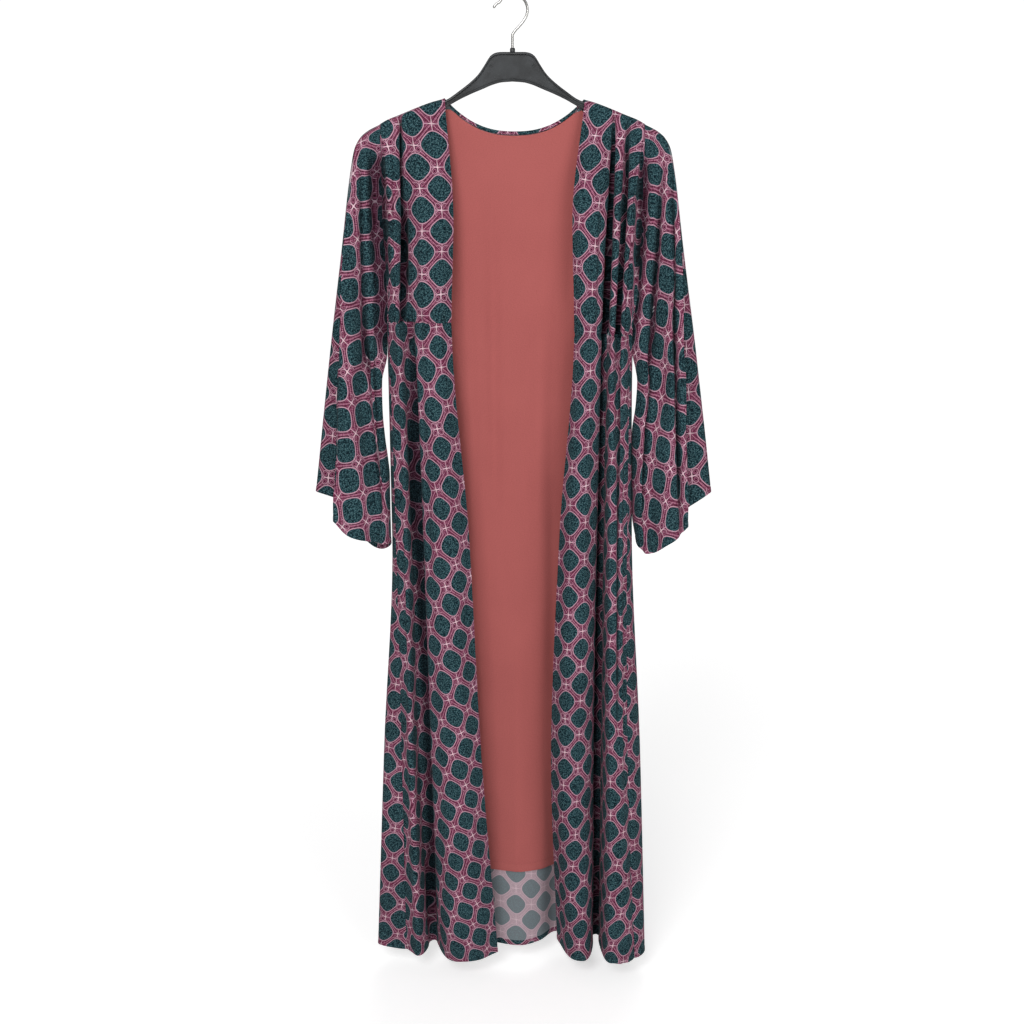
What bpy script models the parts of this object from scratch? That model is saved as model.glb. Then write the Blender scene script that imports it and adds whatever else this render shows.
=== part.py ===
"""Open-front kimono robe hanging on a plastic hanger, in metres, +Z up.

The front faces -Y and the wearer's right is at -X. The origin is the inside top of
the hook, where a rail carries it. Sizes and tables below are in millimetres.
"""

import math
from collections import namedtuple

import bmesh
import bpy
import numpy as np

MM = 0.001

# Cloth
CLOTH_WALL = 1.6
LINING_WALL = 1.2
LINING_INSET = 3.0
SEAM_GAP = 0.4
WAIST_GAP = 0.6
RIDGE_GAP = 0.35
RIM_ANGLE = math.radians(55)

# Heights of the levels that the fold tables name
CHEST_Z = -290.0
WAIST_RIGHT_Z = -438.0
WAIST_LEFT_Z = -457.0
HIP_Z = -750.0
KNEE_Z = -1100.0
HEM_Z = -1455.0
LINING_HEM_Z = -1325.0

# Cloth over the hanger arms
SHOULDER_ROLL = 7.0
RIDGE = ((0, -96), (72, -121), (93, -133), (112, -138.4), (134, -146.3), (153.5, -154.2),
         (174, -162.3), (181, -166.3), (190, -172))

# Back neck edge
NECK_MIDDLE_X = 3.0
NECK_HALF_WIDTH = 96.0
NECK_TOP_Z = -133.0
NECK_DROP = 43.5
NECK_POWER = 2.4
BINDING_HEIGHT = 4.6
BINDING_DEPTH = 5.4
BINDING_BEND = 1.2
BINDING_TAPER = 14.0
BINDING_END_COLUMNS = 2

# Gathers at the waist seam of each front
WAIST_HALF_SPAN = 90.0
GATHERS = 6
GATHER_DEPTH = 2.2
GATHER_FADE_DOWN = 48.0
GATHER_FADE_UP = 26.0
GATHER_END_SHARE = 0.1

# Rows of the panels, as shares of the way from shoulder or armhole to waist and on to the hem
SHOULDER_ROWS = (0, 0.004, 0.014, 0.03, 0.11, 0.25, 0.43, 0.63, 0.83, 1)
ARMHOLE_ROWS = (0, 0.08, 0.17, 0.27, 0.38, 0.5, 0.62, 0.75, 0.88, 1)
SKIRT_ROWS = (0, 0.04, 0.1, 0.2, 0.33, 0.47, 0.61, 0.75, 0.88, 1)
SLEEVE_ROWS = (0, 0.004, 0.013, 0.03, 0.055, 0.1, 0.17, 0.27, 0.39, 0.52, 0.65, 0.77, 0.89, 1)
LINING_BODICE_ROWS = (0, 0.12, 0.3, 0.55, 0.8, 1)
LINING_SKIRT_ROWS = (0.18, 0.38, 0.58, 0.79, 1)
ARMHOLE_EASE = 2.6

# Rows and columns at an edge whose wall is turned level, and how upright a wall may be there
EDGE_ROWS = 4
SLEEVE_EDGE_ROWS = 2
TIP_COLUMNS = 4
LEVEL_LEAST = 0.35
LEVEL_RANGE = 0.3

# One row for each fold line of a panel, from the front edge round to the side seam.
# swell is how far a crest or a furrow runs on level; 0 marks a line that is neither.
# steps is the number of columns up to the next line.
FoldLine = namedtuple(
    "FoldLine",
    "name place x_top y_top z_top x_chest y_chest x_waist y_waist "
    "x_hip y_hip x_knee y_knee x_hem y_hem swell steps",
)
NONE = None
FRONT_RIGHT = [FoldLine(*row) for row in (
    ("edge", "shoulder", -93, -7, NONE, -82, -14, -86, -17, -64, -18, -48, -18, -23, -18, 0, 6),
    ("roll", "shoulder", -116, -7, NONE, -116, -25, -118, -28, -103, -37, -92, -42, -86, -45, 2.1, 7),
    ("furrow", "shoulder", -149, -7, NONE, -149, -10, -151, -10, -146, -6, -146, 0, -128, 12, 0.8, 5),
    ("crest", "shoulder", -181, -7, NONE, -169, -23, -163, -22, -160, -24, -157, -27, -151, -28, 1.4, 6),
    ("armhole", "armhole", -182.5, -11, -285, NONE, NONE, -170, -16, -167, -19, -163, -20, -162, -18, 0, 4),
    ("seam", "armhole", -177.5, -4, -402, NONE, NONE, -176.5, -8, -173, -13, -172, -12, -172, -9, 1, 0),
)]
FRONT_LEFT = [FoldLine(*row) for row in (
    ("edge", "shoulder", 99, -7, NONE, 83, -14, 87, -16, 69, -17, 59, -14, 72, 20, 0, 6),
    ("roll", "shoulder", 117, -7, NONE, 109, -26, 108, -29, 100, -38, 94, -42, 112, -43, 2.2, 6),
    ("furrow", "shoulder", 139, -7, NONE, 137, -10, 134, -8, 134, 4, 136, 12, 137, 26, 0.8, 5),
    ("pleat", "shoulder", 149, -7, NONE, 145, -22, 142, -25, 144, -37, 151, -43, 157, -49, 2.2, 3),
    ("tuck", "shoulder", 159, -7, NONE, 152, -13, 149, -15, 154, -36, 161, -44, 170, -51, 0.8, 3),
    ("crest", "shoulder", 181, -7, NONE, 167, -24, 157, -22, 161, -35, 169, -42, 182, -47, 1.2, 6),
    ("armhole", "armhole", 182.5, -11, -285, NONE, NONE, 163, -17, 165, -31, 173, -37, 190, -41, 0, 4),
    ("seam", "armhole", 177.5, -4, -402, NONE, NONE, 168, -8, 169, -26, 177, -31, 196, -34, 1, 0),
)]
BACK = [FoldLine(*row) for row in (
    ("seam_right", "armhole", -177.5, -4, -402, NONE, NONE, -176.5, -8, -173, -13, -172, -12, -172, -9, 1, 1),
    ("outer_right", "armhole", -178.8, -1, -401, NONE, NONE, -178.4, -4, -176.5, -7, -187, -7, -196, -4, 0, 1),
    ("side_right", "armhole", -179.8, 3, -399, NONE, NONE, -179.5, 3, -179.5, 4, -200, 6, -219, 8, 0, 5),
    ("wing_right", "armhole", -182.5, 11, -285, NONE, NONE, -158, 20, -160, 25, -176, 31, -188, 36, 1.2, 6),
    ("tip_right", "shoulder", -181, 7, NONE, -142, 12, -122, 15, -124, 19, -126, 23, -130, 28, 1, 2),
    ("shoulder_right", "shoulder", -136, 7, NONE, -105, 18, -92, 21, -92, 28, -94, 34, -94, 38, 1, 2),
    ("neck_right", "shoulder", -93, 7, NONE, -76, 16, -66, 18, -64, 23, -60, 27, -60, 24, 1, 4),
    ("nape_right", "neck", -80, 9, NONE, -57, 17, -46, 20, -42, 26, -34, 28, -26, 10, 0, 5),
    ("nape", "neck", 3, 14, NONE, 2, 20, 1, 23, 2, 27, 6, 25, 12, 1, 1, 5),
    ("nape_left", "neck", 84, 9, NONE, 56, 17, 44, 20, 42, 26, 44, 28, 44, 15, 0, 4),
    ("neck_left", "shoulder", 99, 7, NONE, 76, 17, 66, 21, 64, 29, 66, 37, 69, 42, 0, 2),
    ("shoulder_left", "shoulder", 136, 7, NONE, 105, 18, 92, 21, 94, 29, 97, 38, 99, 48, 1, 2),
    ("tip_left", "shoulder", 181, 7, NONE, 142, 12, 122, 15, 126, 24, 131, 36, 136, 44, 1, 6),
    ("wing_left", "armhole", 182.5, 11, -285, NONE, NONE, 154, 19, 160, 24, 176, 28, 188, 26, 1.2, 5),
    ("side_left", "armhole", 179.8, 3, -399, NONE, NONE, 172.5, 3, 177.5, 0, 198, -3, 214, -8, 0, 1),
    ("outer_left", "armhole", 178.8, -1, -401, NONE, NONE, 171.4, -4, 175, -14, 190, -20, 207, -26, 0, 1),
    ("seam_left", "armhole", 177.5, -4, -402, NONE, NONE, 168, -8, 169, -26, 177, -31, 196, -34, 1, 0),
)]

# Share of a back line, from its top, that the lining leaves free, by place or by line
LINING_LINES = ("side_right", "side_left")
LINING_START = {
    "shoulder": 0.066, "neck": 0.004, "armhole": 0.03, "neck_right": 0.046, "neck_left": 0.046,
}
LINING_SIDE_COLUMNS = 2

# Silhouette of the sleeves: distance of the outer and the inner line from the middle plane
SleeveLine = namedtuple("SleeveLine", "z distance")
SLEEVE_OUTER = [SleeveLine(*row) for row in (
    (-166, 181.5), (-176, 199.5), (-185, 210), (-200, 218.5),
    (-225, 224), (-330, 240), (-500, 265), (-691, 291),
)]
SLEEVE_INNER_RIGHT = [SleeveLine(*row) for row in (
    (-166, 182.5), (-285, 185), (-402, 182.2), (-450, 182),
    (-490, 182.2), (-525, 186), (-610, 182.4), (-780, 183),
)]
SLEEVE_INNER_LEFT = [SleeveLine(*row) for row in (
    (-166, 182.5), (-285, 185), (-402, 181.5), (-450, 176.5),
    (-482, 175.6), (-525, 178.4), (-610, 178.6), (-780, 184.5),
)]

# One row for each fold of a sleeve at the wrist edge, round the ring from the underarm
# over the front to the outer line (ring 0.5) and over the back to the underarm again
SleeveFold = namedtuple("SleeveFold", "name ring distance y z swell")
SLEEVE_RIGHT_FOLDS = [SleeveFold(*row) for row in (
    ("inner", 0, 183, -4, -768, 0),
    ("inner_fold", 0.09, 190, -27, -764, 1.2),
    ("groove", 0.16, 202, -18, -763, 0.8),
    ("front", 0.28, 232, -39, -752, 1.5),
    ("lip", 0.4, 262, -34, -727, 1.2),
    ("tuck", 0.44, 257, -8, -700, 1),
    ("outer", 0.5, 291, 4, -691, 0),
    ("back_fold", 0.62, 262, 31, -712, 1.2),
    ("back_groove", 0.75, 230, 21, -762, 0.9),
    ("back_inner", 0.89, 198, 28, -788, 1.2),
    ("inner", 1, 183, -4, -768, 0),
)]
SLEEVE_LEFT_FOLDS = [SleeveFold(*row) for row in (
    ("inner", 0, 184.5, -4, -766, 0),
    ("inner_fold", 0.09, 196, -29, -778, 1.2),
    ("groove", 0.16, 207, -20, -774, 0.8),
    ("front", 0.28, 231, -39, -766, 1.5),
    ("lip", 0.4, 257, -35, -735, 1.2),
    ("tuck", 0.44, 254, -9, -716, 1),
    ("outer", 0.5, 294, 4, -692, 0),
    ("back_fold", 0.62, 268, 34, -722, 1.2),
    ("back_groove", 0.75, 234, 25, -748, 0.9),
    ("back_inner", 0.89, 201, 33, -772, 1.2),
    ("inner", 1, 184.5, -4, -766, 0),
)]
SLEEVE_SEAM_RING = 0.45
SLEEVE_GAP = 0.6
SLEEVE_UNDERARM_GAP = 2.6
SLEEVE_UNDERARM_TOP_Z = -330.0
SLEEVE_UNDERARM_RANGE = 70.0
SLEEVE_SPREAD_TIP = 2.6
SLEEVE_SPREAD_UNDERARM = 70.0
SLEEVE_SWING_EXTRA = 40.0
SLEEVE_FULLNESS_TOP = 0.62
SLEEVE_EVEN_POWER = 1.2
SLEEVE_FOLDS_START = 0.1
SLEEVE_FOLDS_RANGE = 0.8

# Hanger: half of its outline from the middle outwards, mirrored for the other half
HangerStation = namedtuple("HangerStation", "x top bottom half_depth")
HANGER = [HangerStation(*row) for row in (
    (0, -72.3, -110.8, 5), (16, -72.3, -112, 5), (24, -73.6, -114, 5), (30, -77.4, -116, 5),
    (38, -89.2, -119.4, 5), (46, -100.6, -122.6, 5), (54, -108.5, -125.8, 5), (72, -122.4, -134, 5),
    (93, -135.6, -145.2, 4), (112, -140.8, -153.4, 4), (134, -148.8, -161.6, 4),
    (154, -156.9, -169.4, 3.8), (174, -166.2, -177.4, 3.4), (184, -172.6, -181.2, 2.8),
    (190, -177, -183.6, 2), (192, -179, -183, 1.2),
)]
HANGER_RIM = 3.0
HANGER_RIM_SHARE = 0.3
HANGER_WEB = 1.8
HANGER_WEB_SHARE = 0.6
HANGER_WEB_SLOPE = 0.6
HANGER_ROUND = 2.1
HANGER_ROUND_RIM_SHARE = 0.7
HANGER_ROUND_DEPTH_SHARE = 0.45
DIMPLE_X = 29.0
DIMPLE_Z = -90.5
DIMPLE_RADIUS = 2.0
DIMPLE_DEPTH = 1.0
COLLAR_RADIUS = 3.5
COLLAR_BOTTOM_Z = -72.0
COLLAR_TOP_Z = -67.0

# Hook wire
WIRE_RADIUS = 1.75
HOOK_RADIUS = 20.2
HOOK_CENTRE_Z = -(HOOK_RADIUS - WIRE_RADIUS)
HOOK_SHANK = ((0, -66.7), (0, -58), (0, -51), (3.4, -45), (9.4, -38.8), (15.6, -31.2), (19, -25))
HOOK_ARC_END = 150
HOOK_ARC_STEPS = 14
HOOK_TIP = ((-21.6, -10.6), (-25.9, -15.9))


def clear_scene():
    """Remove every object of the scene."""
    for item in list(bpy.data.objects):
        bpy.data.objects.remove(item, do_unlink=True)


def slopes(knots, values):
    """Slopes at the knots of a curve through values that never overshoots them."""
    steps = np.diff(knots)
    rises = np.diff(values) / steps
    found = np.zeros(len(knots))
    found[0] = rises[0]
    found[-1] = rises[-1]
    for i in range(1, len(knots) - 1):
        before = rises[i - 1]
        after = rises[i]
        if before * after > 0:
            first = 2 * steps[i] + steps[i - 1]
            second = steps[i] + 2 * steps[i - 1]
            found[i] = (first + second) / (first / before + second / after)
    return found


def ease(start, end, slope_start, slope_end, share):
    """Cubic from start to end with the given slopes, at share 0 to 1."""
    rest = 1 - share
    return (
        start * rest * rest * (1 + 2 * share)
        + end * share * share * (3 - 2 * share)
        + slope_start * share * rest * rest
        - slope_end * share * share * rest
    )


def along(knots, values, place):
    """Value at each place of the smooth curve through values at rising knots."""
    knots = np.asarray(knots, float)
    values = np.asarray(values, float)
    place = np.clip(np.asarray(place, float), knots[0], knots[-1])
    tangents = slopes(knots, values)
    i = np.clip(np.searchsorted(knots, place, side="right") - 1, 0, len(knots) - 2)
    width = knots[i + 1] - knots[i]
    share = (place - knots[i]) / width
    return ease(values[i], values[i + 1], tangents[i] * width, tangents[i + 1] * width, share)


def down(heights, values, z):
    """The same for a table whose heights fall from row to row."""
    return along(-np.asarray(heights, float), values, -np.asarray(z, float))


def smooth_step(share):
    """Soft rise from 0 to 1."""
    share = np.clip(share, 0, 1)
    return share * share * (3 - 2 * share)


def ridge_height(x):
    """Height of the cloth's fold over the hanger arm at x."""
    return along([row[0] for row in RIDGE], [row[1] for row in RIDGE], np.abs(x))


def neck_height(x):
    """Height of the back neck edge, the binding included, at x."""
    share = np.clip(np.abs(np.asarray(x, float) - NECK_MIDDLE_X) / NECK_HALF_WIDTH, 0, 1)
    return NECK_TOP_Z - NECK_DROP * (1 - share ** NECK_POWER)


def binding_share(x):
    """Share of the binding's full height at x: it runs out towards the neck points."""
    from_end = NECK_HALF_WIDTH - np.abs(np.asarray(x, float) - NECK_MIDDLE_X)
    return smooth_step(from_end / BINDING_TAPER)


def neck_seam_height(x):
    """Height of the back's own neck edge, under the binding."""
    return neck_height(x) - (BINDING_HEIGHT + SEAM_GAP) * binding_share(x)


def line_knots(line, waist):
    """Heights, x and y of the points that a fold line runs through."""
    top = line.z_top
    if line.place == "shoulder":
        top = float(ridge_height(line.x_top))
    elif line.place == "neck":
        top = float(neck_seam_height(line.x_top))
    heights = [top]
    x = [line.x_top]
    y = [line.y_top]
    if line.x_chest is not NONE:
        heights.append(CHEST_Z)
        x.append(line.x_chest)
        y.append(line.y_chest)
    heights += [waist, HIP_Z, KNEE_Z, HEM_Z]
    x += [line.x_waist, line.x_hip, line.x_knee, line.x_hem]
    y += [line.y_waist, line.y_hip, line.y_knee, line.y_hem]
    return heights, x, y


def column_of(lines, name):
    """Column of a panel where the named fold line runs."""
    names = [line.name for line in lines]
    return sum(line.steps for line in lines[:names.index(name)])


def across(values_x, values_y, swells, steps):
    """Columns of one row: a smooth curve over the fold lines, level at crests and furrows."""
    index = np.arange(len(values_x), dtype=float)
    slope_x = slopes(index, values_x)
    slope_y = slopes(index, values_y)
    x = []
    y = []
    for i, count in enumerate(steps[:-1]):
        share = np.arange(count) / count
        rise = values_x[i + 1] - values_x[i]
        start_x, start_y = (swells[i] * rise, 0) if swells[i] else (slope_x[i], slope_y[i])
        end_x, end_y = (swells[i + 1] * rise, 0) if swells[i + 1] else (slope_x[i + 1], slope_y[i + 1])
        x.append(ease(values_x[i], values_x[i + 1], start_x, end_x, share))
        y.append(ease(values_y[i], values_y[i + 1], start_y, end_y, share))
    x.append([values_x[-1]])
    y.append([values_y[-1]])
    return np.concatenate(x), np.concatenate(y)


def spread(values, steps):
    """Straight run between the values of the fold lines, one value for each column."""
    columns = np.concatenate([[0], np.cumsum(steps[:-1])])
    return np.interp(np.arange(columns[-1] + 1), columns, values)


def column_tops(lines, steps):
    """Height of the top end of each column: shoulder ridge, neck edge or armhole."""
    tops = [line_knots(line, WAIST_RIGHT_Z)[0][0] for line in lines]
    swells = [line.swell for line in lines]
    x, _ = across([line.x_top for line in lines], [line.y_top for line in lines], swells, steps)
    heights = spread(tops, steps)
    column = 0
    for i, line in enumerate(lines[:-1]):
        places = {line.place, lines[i + 1].place}
        stop = column + steps[i] + 1
        if "armhole" not in places:
            edge = neck_seam_height if "neck" in places else ridge_height
            heights[column:stop] = edge(x[column:stop])
        elif "shoulder" in places:
            share = np.linspace(0, 1, steps[i] + 1) ** ARMHOLE_EASE
            if line.place == "armhole":
                share = share[::-1]
                heights[column:stop] = tops[i + 1] + (tops[i] - tops[i + 1]) * share
            else:
                heights[column:stop] = tops[i] + (tops[i + 1] - tops[i]) * share
        column += steps[i]
    return heights


def waist_height(x):
    """Height of the waist level at x: the two fronts hang unevenly."""
    share = np.clip((np.asarray(x, float) / WAIST_HALF_SPAN + 1) / 2, 0, 1)
    return WAIST_RIGHT_Z + (WAIST_LEFT_Z - WAIST_RIGHT_Z) * share


def panel_rows(lines, rows, free=NONE):
    """Grid of points of a panel, for rows of shares (from the shoulder, from the armhole, skirt)."""
    steps = [line.steps for line in lines]
    swells = [line.swell for line in lines]
    waists = [float(waist_height(line.x_waist)) for line in lines]
    knots = [line_knots(line, waist) for line, waist in zip(lines, waists)]
    tops = column_tops(lines, steps)
    column_waists = spread(waists, steps)
    starts = np.zeros(len(lines)) if free is NONE else np.asarray(free, float)
    column_starts = spread(starts, steps)
    facing = np.sign(sum(line.y_waist for line in lines))
    grid = []
    for shoulder, armhole, skirt in rows:
        line_x = []
        line_y = []
        shares = [armhole if line.place == "armhole" else shoulder for line in lines]
        for (heights, x, y), waist, start, bodice in zip(knots, waists, starts, shares):
            share = start + (1 - start) * bodice
            z = heights[0] + (waist - heights[0]) * share + (HEM_Z - waist) * skirt
            line_x.append(float(down(heights, x, z)))
            line_y.append(float(down(heights, y, z)))
        x, y = across(line_x, line_y, swells, steps)
        share = column_starts + (1 - column_starts) * spread(shares, steps)
        z = tops + (column_waists - tops) * share + (HEM_Z - column_waists) * skirt
        turn = np.clip((ridge_height(x) - z) / SHOULDER_ROLL, 0, 1)
        turn = np.sqrt(1 - (1 - turn) ** 2)
        y = y * turn + facing * RIDGE_GAP * (1 - turn)
        grid.append(np.stack([x, y, z], axis=1))
    return np.array(grid)


def gather(grid, waist):
    """Add the gathers of a front's waist seam, which fade above and below it."""
    lengths = np.linalg.norm(np.diff(grid[:, :, :2], axis=1), axis=2)
    place = np.concatenate([np.zeros((len(grid), 1)), np.cumsum(lengths, axis=1)], axis=1)
    place /= place[:, -1:]
    above = grid[:, :, 2] - waist
    fade = np.where(above > 0, np.exp(-above / GATHER_FADE_UP), np.exp(above / GATHER_FADE_DOWN))
    ends = smooth_step(place / GATHER_END_SHARE) * smooth_step((1 - place) / GATHER_END_SHARE)
    grid[:, :, 1] -= GATHER_DEPTH * fade * ends * np.cos(2 * math.pi * GATHERS * place)
    return grid


def pull_in(grid, first, last, level=True):
    """Take half the seam gap off the first or the last column of a panel, level or along the cloth."""
    for wanted, edge, inner in ((first, 0, 1), (last, -1, -2)):
        if wanted:
            inward = grid[:, inner] - grid[:, edge]
            if level:
                inward[:, 2] = 0
            inward /= np.linalg.norm(inward, axis=1, keepdims=True)
            grid[:, edge] += inward * SEAM_GAP / 2
    return grid


def front_rows():
    """Rows of a front: the bodice down to the waist seam, then the skirt down to the hem."""
    bodice = [(*shares, 0) for shares in zip(SHOULDER_ROWS, ARMHOLE_ROWS)]
    skirt = [(1, 1, share) for share in SKIRT_ROWS]
    return bodice, skirt


def front_grids(lines, waist):
    """Bodice and skirt of one front, with the waist gap between them."""
    bodice_rows, skirt_rows = front_rows()
    bodice = pull_in(gather(panel_rows(lines, bodice_rows), waist), False, True)
    skirt = pull_in(gather(panel_rows(lines, skirt_rows), waist), False, True)
    bodice[-1, :, 2] += WAIST_GAP / 2
    skirt[0, :, 2] -= WAIST_GAP / 2
    return bodice, skirt


def back_grid():
    """The back in one piece, on the same rows as the fronts."""
    bodice_rows, skirt_rows = front_rows()
    return pull_in(panel_rows(BACK, bodice_rows + skirt_rows[1:]), True, True)


def grid_normals(grid, outward, ring=False):
    """Unit normals of a grid of points, turned to the side that outward names on the whole."""
    if ring:
        over_columns = (np.roll(grid, -1, axis=1) - np.roll(grid, 1, axis=1)) / 2
    else:
        over_columns = np.gradient(grid, axis=1)
    normals = np.cross(over_columns, np.gradient(grid, axis=0))
    normals /= np.linalg.norm(normals, axis=2, keepdims=True)
    if (normals * outward).sum() < 0:
        normals = -normals
    return normals


def flatten(normals, axis, least=LEVEL_LEAST):
    """Take the part along one axis out of normals that have at least that much of the rest."""
    rest = normals.copy()
    rest[..., axis] = 0
    length = np.linalg.norm(rest, axis=-1, keepdims=True)
    weight = smooth_step((length - least) / LEVEL_RANGE)
    mixed = rest * weight + normals * (1 - weight)
    return mixed / np.linalg.norm(mixed, axis=-1, keepdims=True)


def fit_seams(bodice, skirt, back, lines, back_column):
    """Give the walls that meet at a seam of one front the same normal there."""
    shoulder = column_of(lines, "crest")
    bodice[0, :shoulder + 1] = (0, 0, 1)
    tip = shoulder + TIP_COLUMNS
    bodice[:EDGE_ROWS, shoulder:tip] = flatten(bodice[:EDGE_ROWS, shoulder:tip], 0, 0)
    bodice[:EDGE_ROWS, tip:] = flatten(bodice[:EDGE_ROWS, tip:], 0)
    waist = flatten(bodice[-1] + skirt[0], 2)
    bodice[-1] = waist
    skirt[0] = waist
    front = np.concatenate([bodice[:, -1], skirt[1:, -1]])
    shared = front + back[:, back_column]
    shared /= np.linalg.norm(shared, axis=1, keepdims=True)
    back[:, back_column] = shared
    bodice[:, -1] = shared[:len(bodice)]
    skirt[:, -1] = shared[len(bodice) - 1:]


def fit_back_top(normals):
    """Normals of the back's top edge: upright on the shoulders, level at the armholes."""
    tip_right = column_of(BACK, "tip_right")
    tip_left = column_of(BACK, "tip_left")
    normals[0, tip_right:column_of(BACK, "neck_right") + 1] = (0, 0, 1)
    normals[0, column_of(BACK, "neck_left"):tip_left + 1] = (0, 0, 1)
    for start, stop in ((0, tip_right + 1), (tip_left, NONE)):
        normals[:EDGE_ROWS, start:stop] = flatten(normals[:EDGE_ROWS, start:stop], 0)


def lining_grid():
    """The back's points between its sides, moved inwards, from below the arms to the lining hem."""
    names = [line.name for line in BACK]
    first, last = (names.index(name) for name in LINING_LINES)
    lines = [
        line._replace(steps=line.steps // 2) if line.steps in (4, 6) else line
        for line in BACK[first:last + 1]
    ]
    free = [LINING_START.get(line.name, LINING_START[line.place]) for line in lines]
    middle_waist = (WAIST_RIGHT_Z + WAIST_LEFT_Z) / 2
    share = (LINING_HEM_Z - middle_waist) / (HEM_Z - middle_waist)
    rows = [(bodice, bodice, 0) for bodice in LINING_BODICE_ROWS]
    rows += [(1, 1, skirt * share) for skirt in LINING_SKIRT_ROWS]
    grid = panel_rows(lines, rows, free)[:, LINING_SIDE_COLUMNS:-LINING_SIDE_COLUMNS]
    return grid - grid_normals(grid, (0, 1, 0)) * LINING_INSET


def armhole_ring(front, side):
    """Points of the armhole from the underarm up the front and down the back."""
    bodice_rows, _ = front_rows()
    start = column_of(front, "crest")
    front_edge = panel_rows(front, bodice_rows[:1])[0][start:][::-1]
    back_edge = panel_rows(BACK, bodice_rows[:1])[0]
    tip = column_of(BACK, "tip_right" if side < 0 else "tip_left")
    back_edge = back_edge[:tip + 1][::-1] if side < 0 else back_edge[tip:]
    ridge = (front_edge[-1:] + back_edge[:1]) / 2
    return np.concatenate([front_edge[:-1], ridge, back_edge[1:-1]])


def sleeve_targets(folds, count_front, count_back):
    """Ring positions of the columns and their points at the wrist edge."""
    ring = np.concatenate([
        np.linspace(0, 0.5, count_front + 1),
        np.linspace(0.5, 1, count_back + 1)[1:-1],
    ])
    knots = [fold.ring for fold in folds]
    swells = [fold.swell for fold in folds]
    index = np.arange(len(folds), dtype=float)
    distances = [fold.distance for fold in folds]
    depths = [fold.y for fold in folds]
    slope_x = slopes(index, distances)
    slope_y = slopes(index, depths)
    slope_y[0] = slope_y[-1] = (depths[1] - depths[-2]) / 2
    slope_x[0] = slope_x[-1] = 0
    at = np.clip(np.searchsorted(knots, ring, side="right") - 1, 0, len(folds) - 2)
    points = []
    for place, i in zip(ring, at):
        share = (place - knots[i]) / (knots[i + 1] - knots[i])
        rise = distances[i + 1] - distances[i]
        start = (swells[i] * rise, 0) if swells[i] else (slope_x[i], slope_y[i])
        end = (swells[i + 1] * rise, 0) if swells[i + 1] else (slope_x[i + 1], slope_y[i + 1])
        points.append((
            ease(distances[i], distances[i + 1], start[0], end[0], share),
            ease(depths[i], depths[i + 1], start[1], end[1], share),
        ))
    heights = along(knots, [fold.z for fold in folds], ring)
    return ring, np.array(points), heights


def sleeve_grid(front, folds, inner, side):
    """One sleeve: columns run from the armhole out over the shoulder end and down."""
    loop = armhole_ring(front, side)
    count_front = int(np.argmax(loop[:, 2]))
    count_back = len(loop) - count_front
    ring, hem, hem_z = sleeve_targets(folds, count_front, count_back)
    outer_z = [row.z for row in SLEEVE_OUTER]
    outer_x = [row.distance for row in SLEEVE_OUTER]
    inner_z = [row.z for row in inner]
    inner_x = [row.distance for row in inner]
    low = smooth_step((SLEEVE_UNDERARM_TOP_Z - loop[:, 2]) / SLEEVE_UNDERARM_RANGE)
    start_x = np.abs(loop[:, 0]) + SLEEVE_GAP + (SLEEVE_UNDERARM_GAP - SLEEVE_GAP) * low
    start_y = loop[:, 1]
    start_z = loop[:, 2]
    top_z = start_z.max()
    reach = (top_z - start_z) / (top_z - start_z.min())
    length = SLEEVE_SPREAD_TIP + (SLEEVE_SPREAD_UNDERARM - SLEEVE_SPREAD_TIP) * reach
    from_inner = np.clip(1 - np.abs(ring - 0.5) * 2, 0, 1)
    even = np.sin(from_inner * math.pi / 2) ** SLEEVE_EVEN_POWER
    hem_inner = down(inner_z, inner_x, hem_z)
    hem_outer = down(outer_z, outer_x, hem_z)
    hem_share = (hem[:, 0] - hem_inner) / (hem_outer - hem_inner)
    grid = []
    for row in SLEEVE_ROWS:
        z = start_z + (hem_z - start_z) * row
        drop = start_z - z
        inside = down(inner_z, inner_x, z)
        outside = down(outer_z, outer_x, z)
        formed = smooth_step((row - SLEEVE_FOLDS_START) / SLEEVE_FOLDS_RANGE)
        share = even + (hem_share - even) * formed
        settled = 1 - np.exp(-drop / length)
        x = start_x + (inside + share * (outside - inside) - start_x) * settled
        fullness = SLEEVE_FULLNESS_TOP + (1 - SLEEVE_FULLNESS_TOP) * row
        swung = 1 - np.exp(-drop / (length + SLEEVE_SWING_EXTRA))
        y = start_y + (hem[:, 1] * fullness - start_y) * swung
        grid.append(np.stack([side * x, y, z], axis=1))
    return np.array(grid)


def principled(name, colour, roughness, metallic=0.0):
    """Material with one plain colour."""
    material = bpy.data.materials.new(name)
    material.use_nodes = True
    shader = material.node_tree.nodes["Principled BSDF"]
    shader.inputs["Base Color"].default_value = (*colour, 1)
    shader.inputs["Roughness"].default_value = roughness
    shader.inputs["Metallic"].default_value = metallic
    return material


def mesh_object(name, points, faces, material, smooth=True):
    """Object with a mesh of points in millimetres."""
    mesh = bpy.data.meshes.new(name)
    mesh.from_pydata([tuple(float(v) * MM for v in point) for point in points], [], faces)
    mesh.update()
    mesh.polygons.foreach_set("use_smooth", [smooth] * len(mesh.polygons))
    mesh.materials.append(material)
    item = bpy.data.objects.new(name, mesh)
    bpy.context.scene.collection.objects.link(item)
    return item


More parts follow.
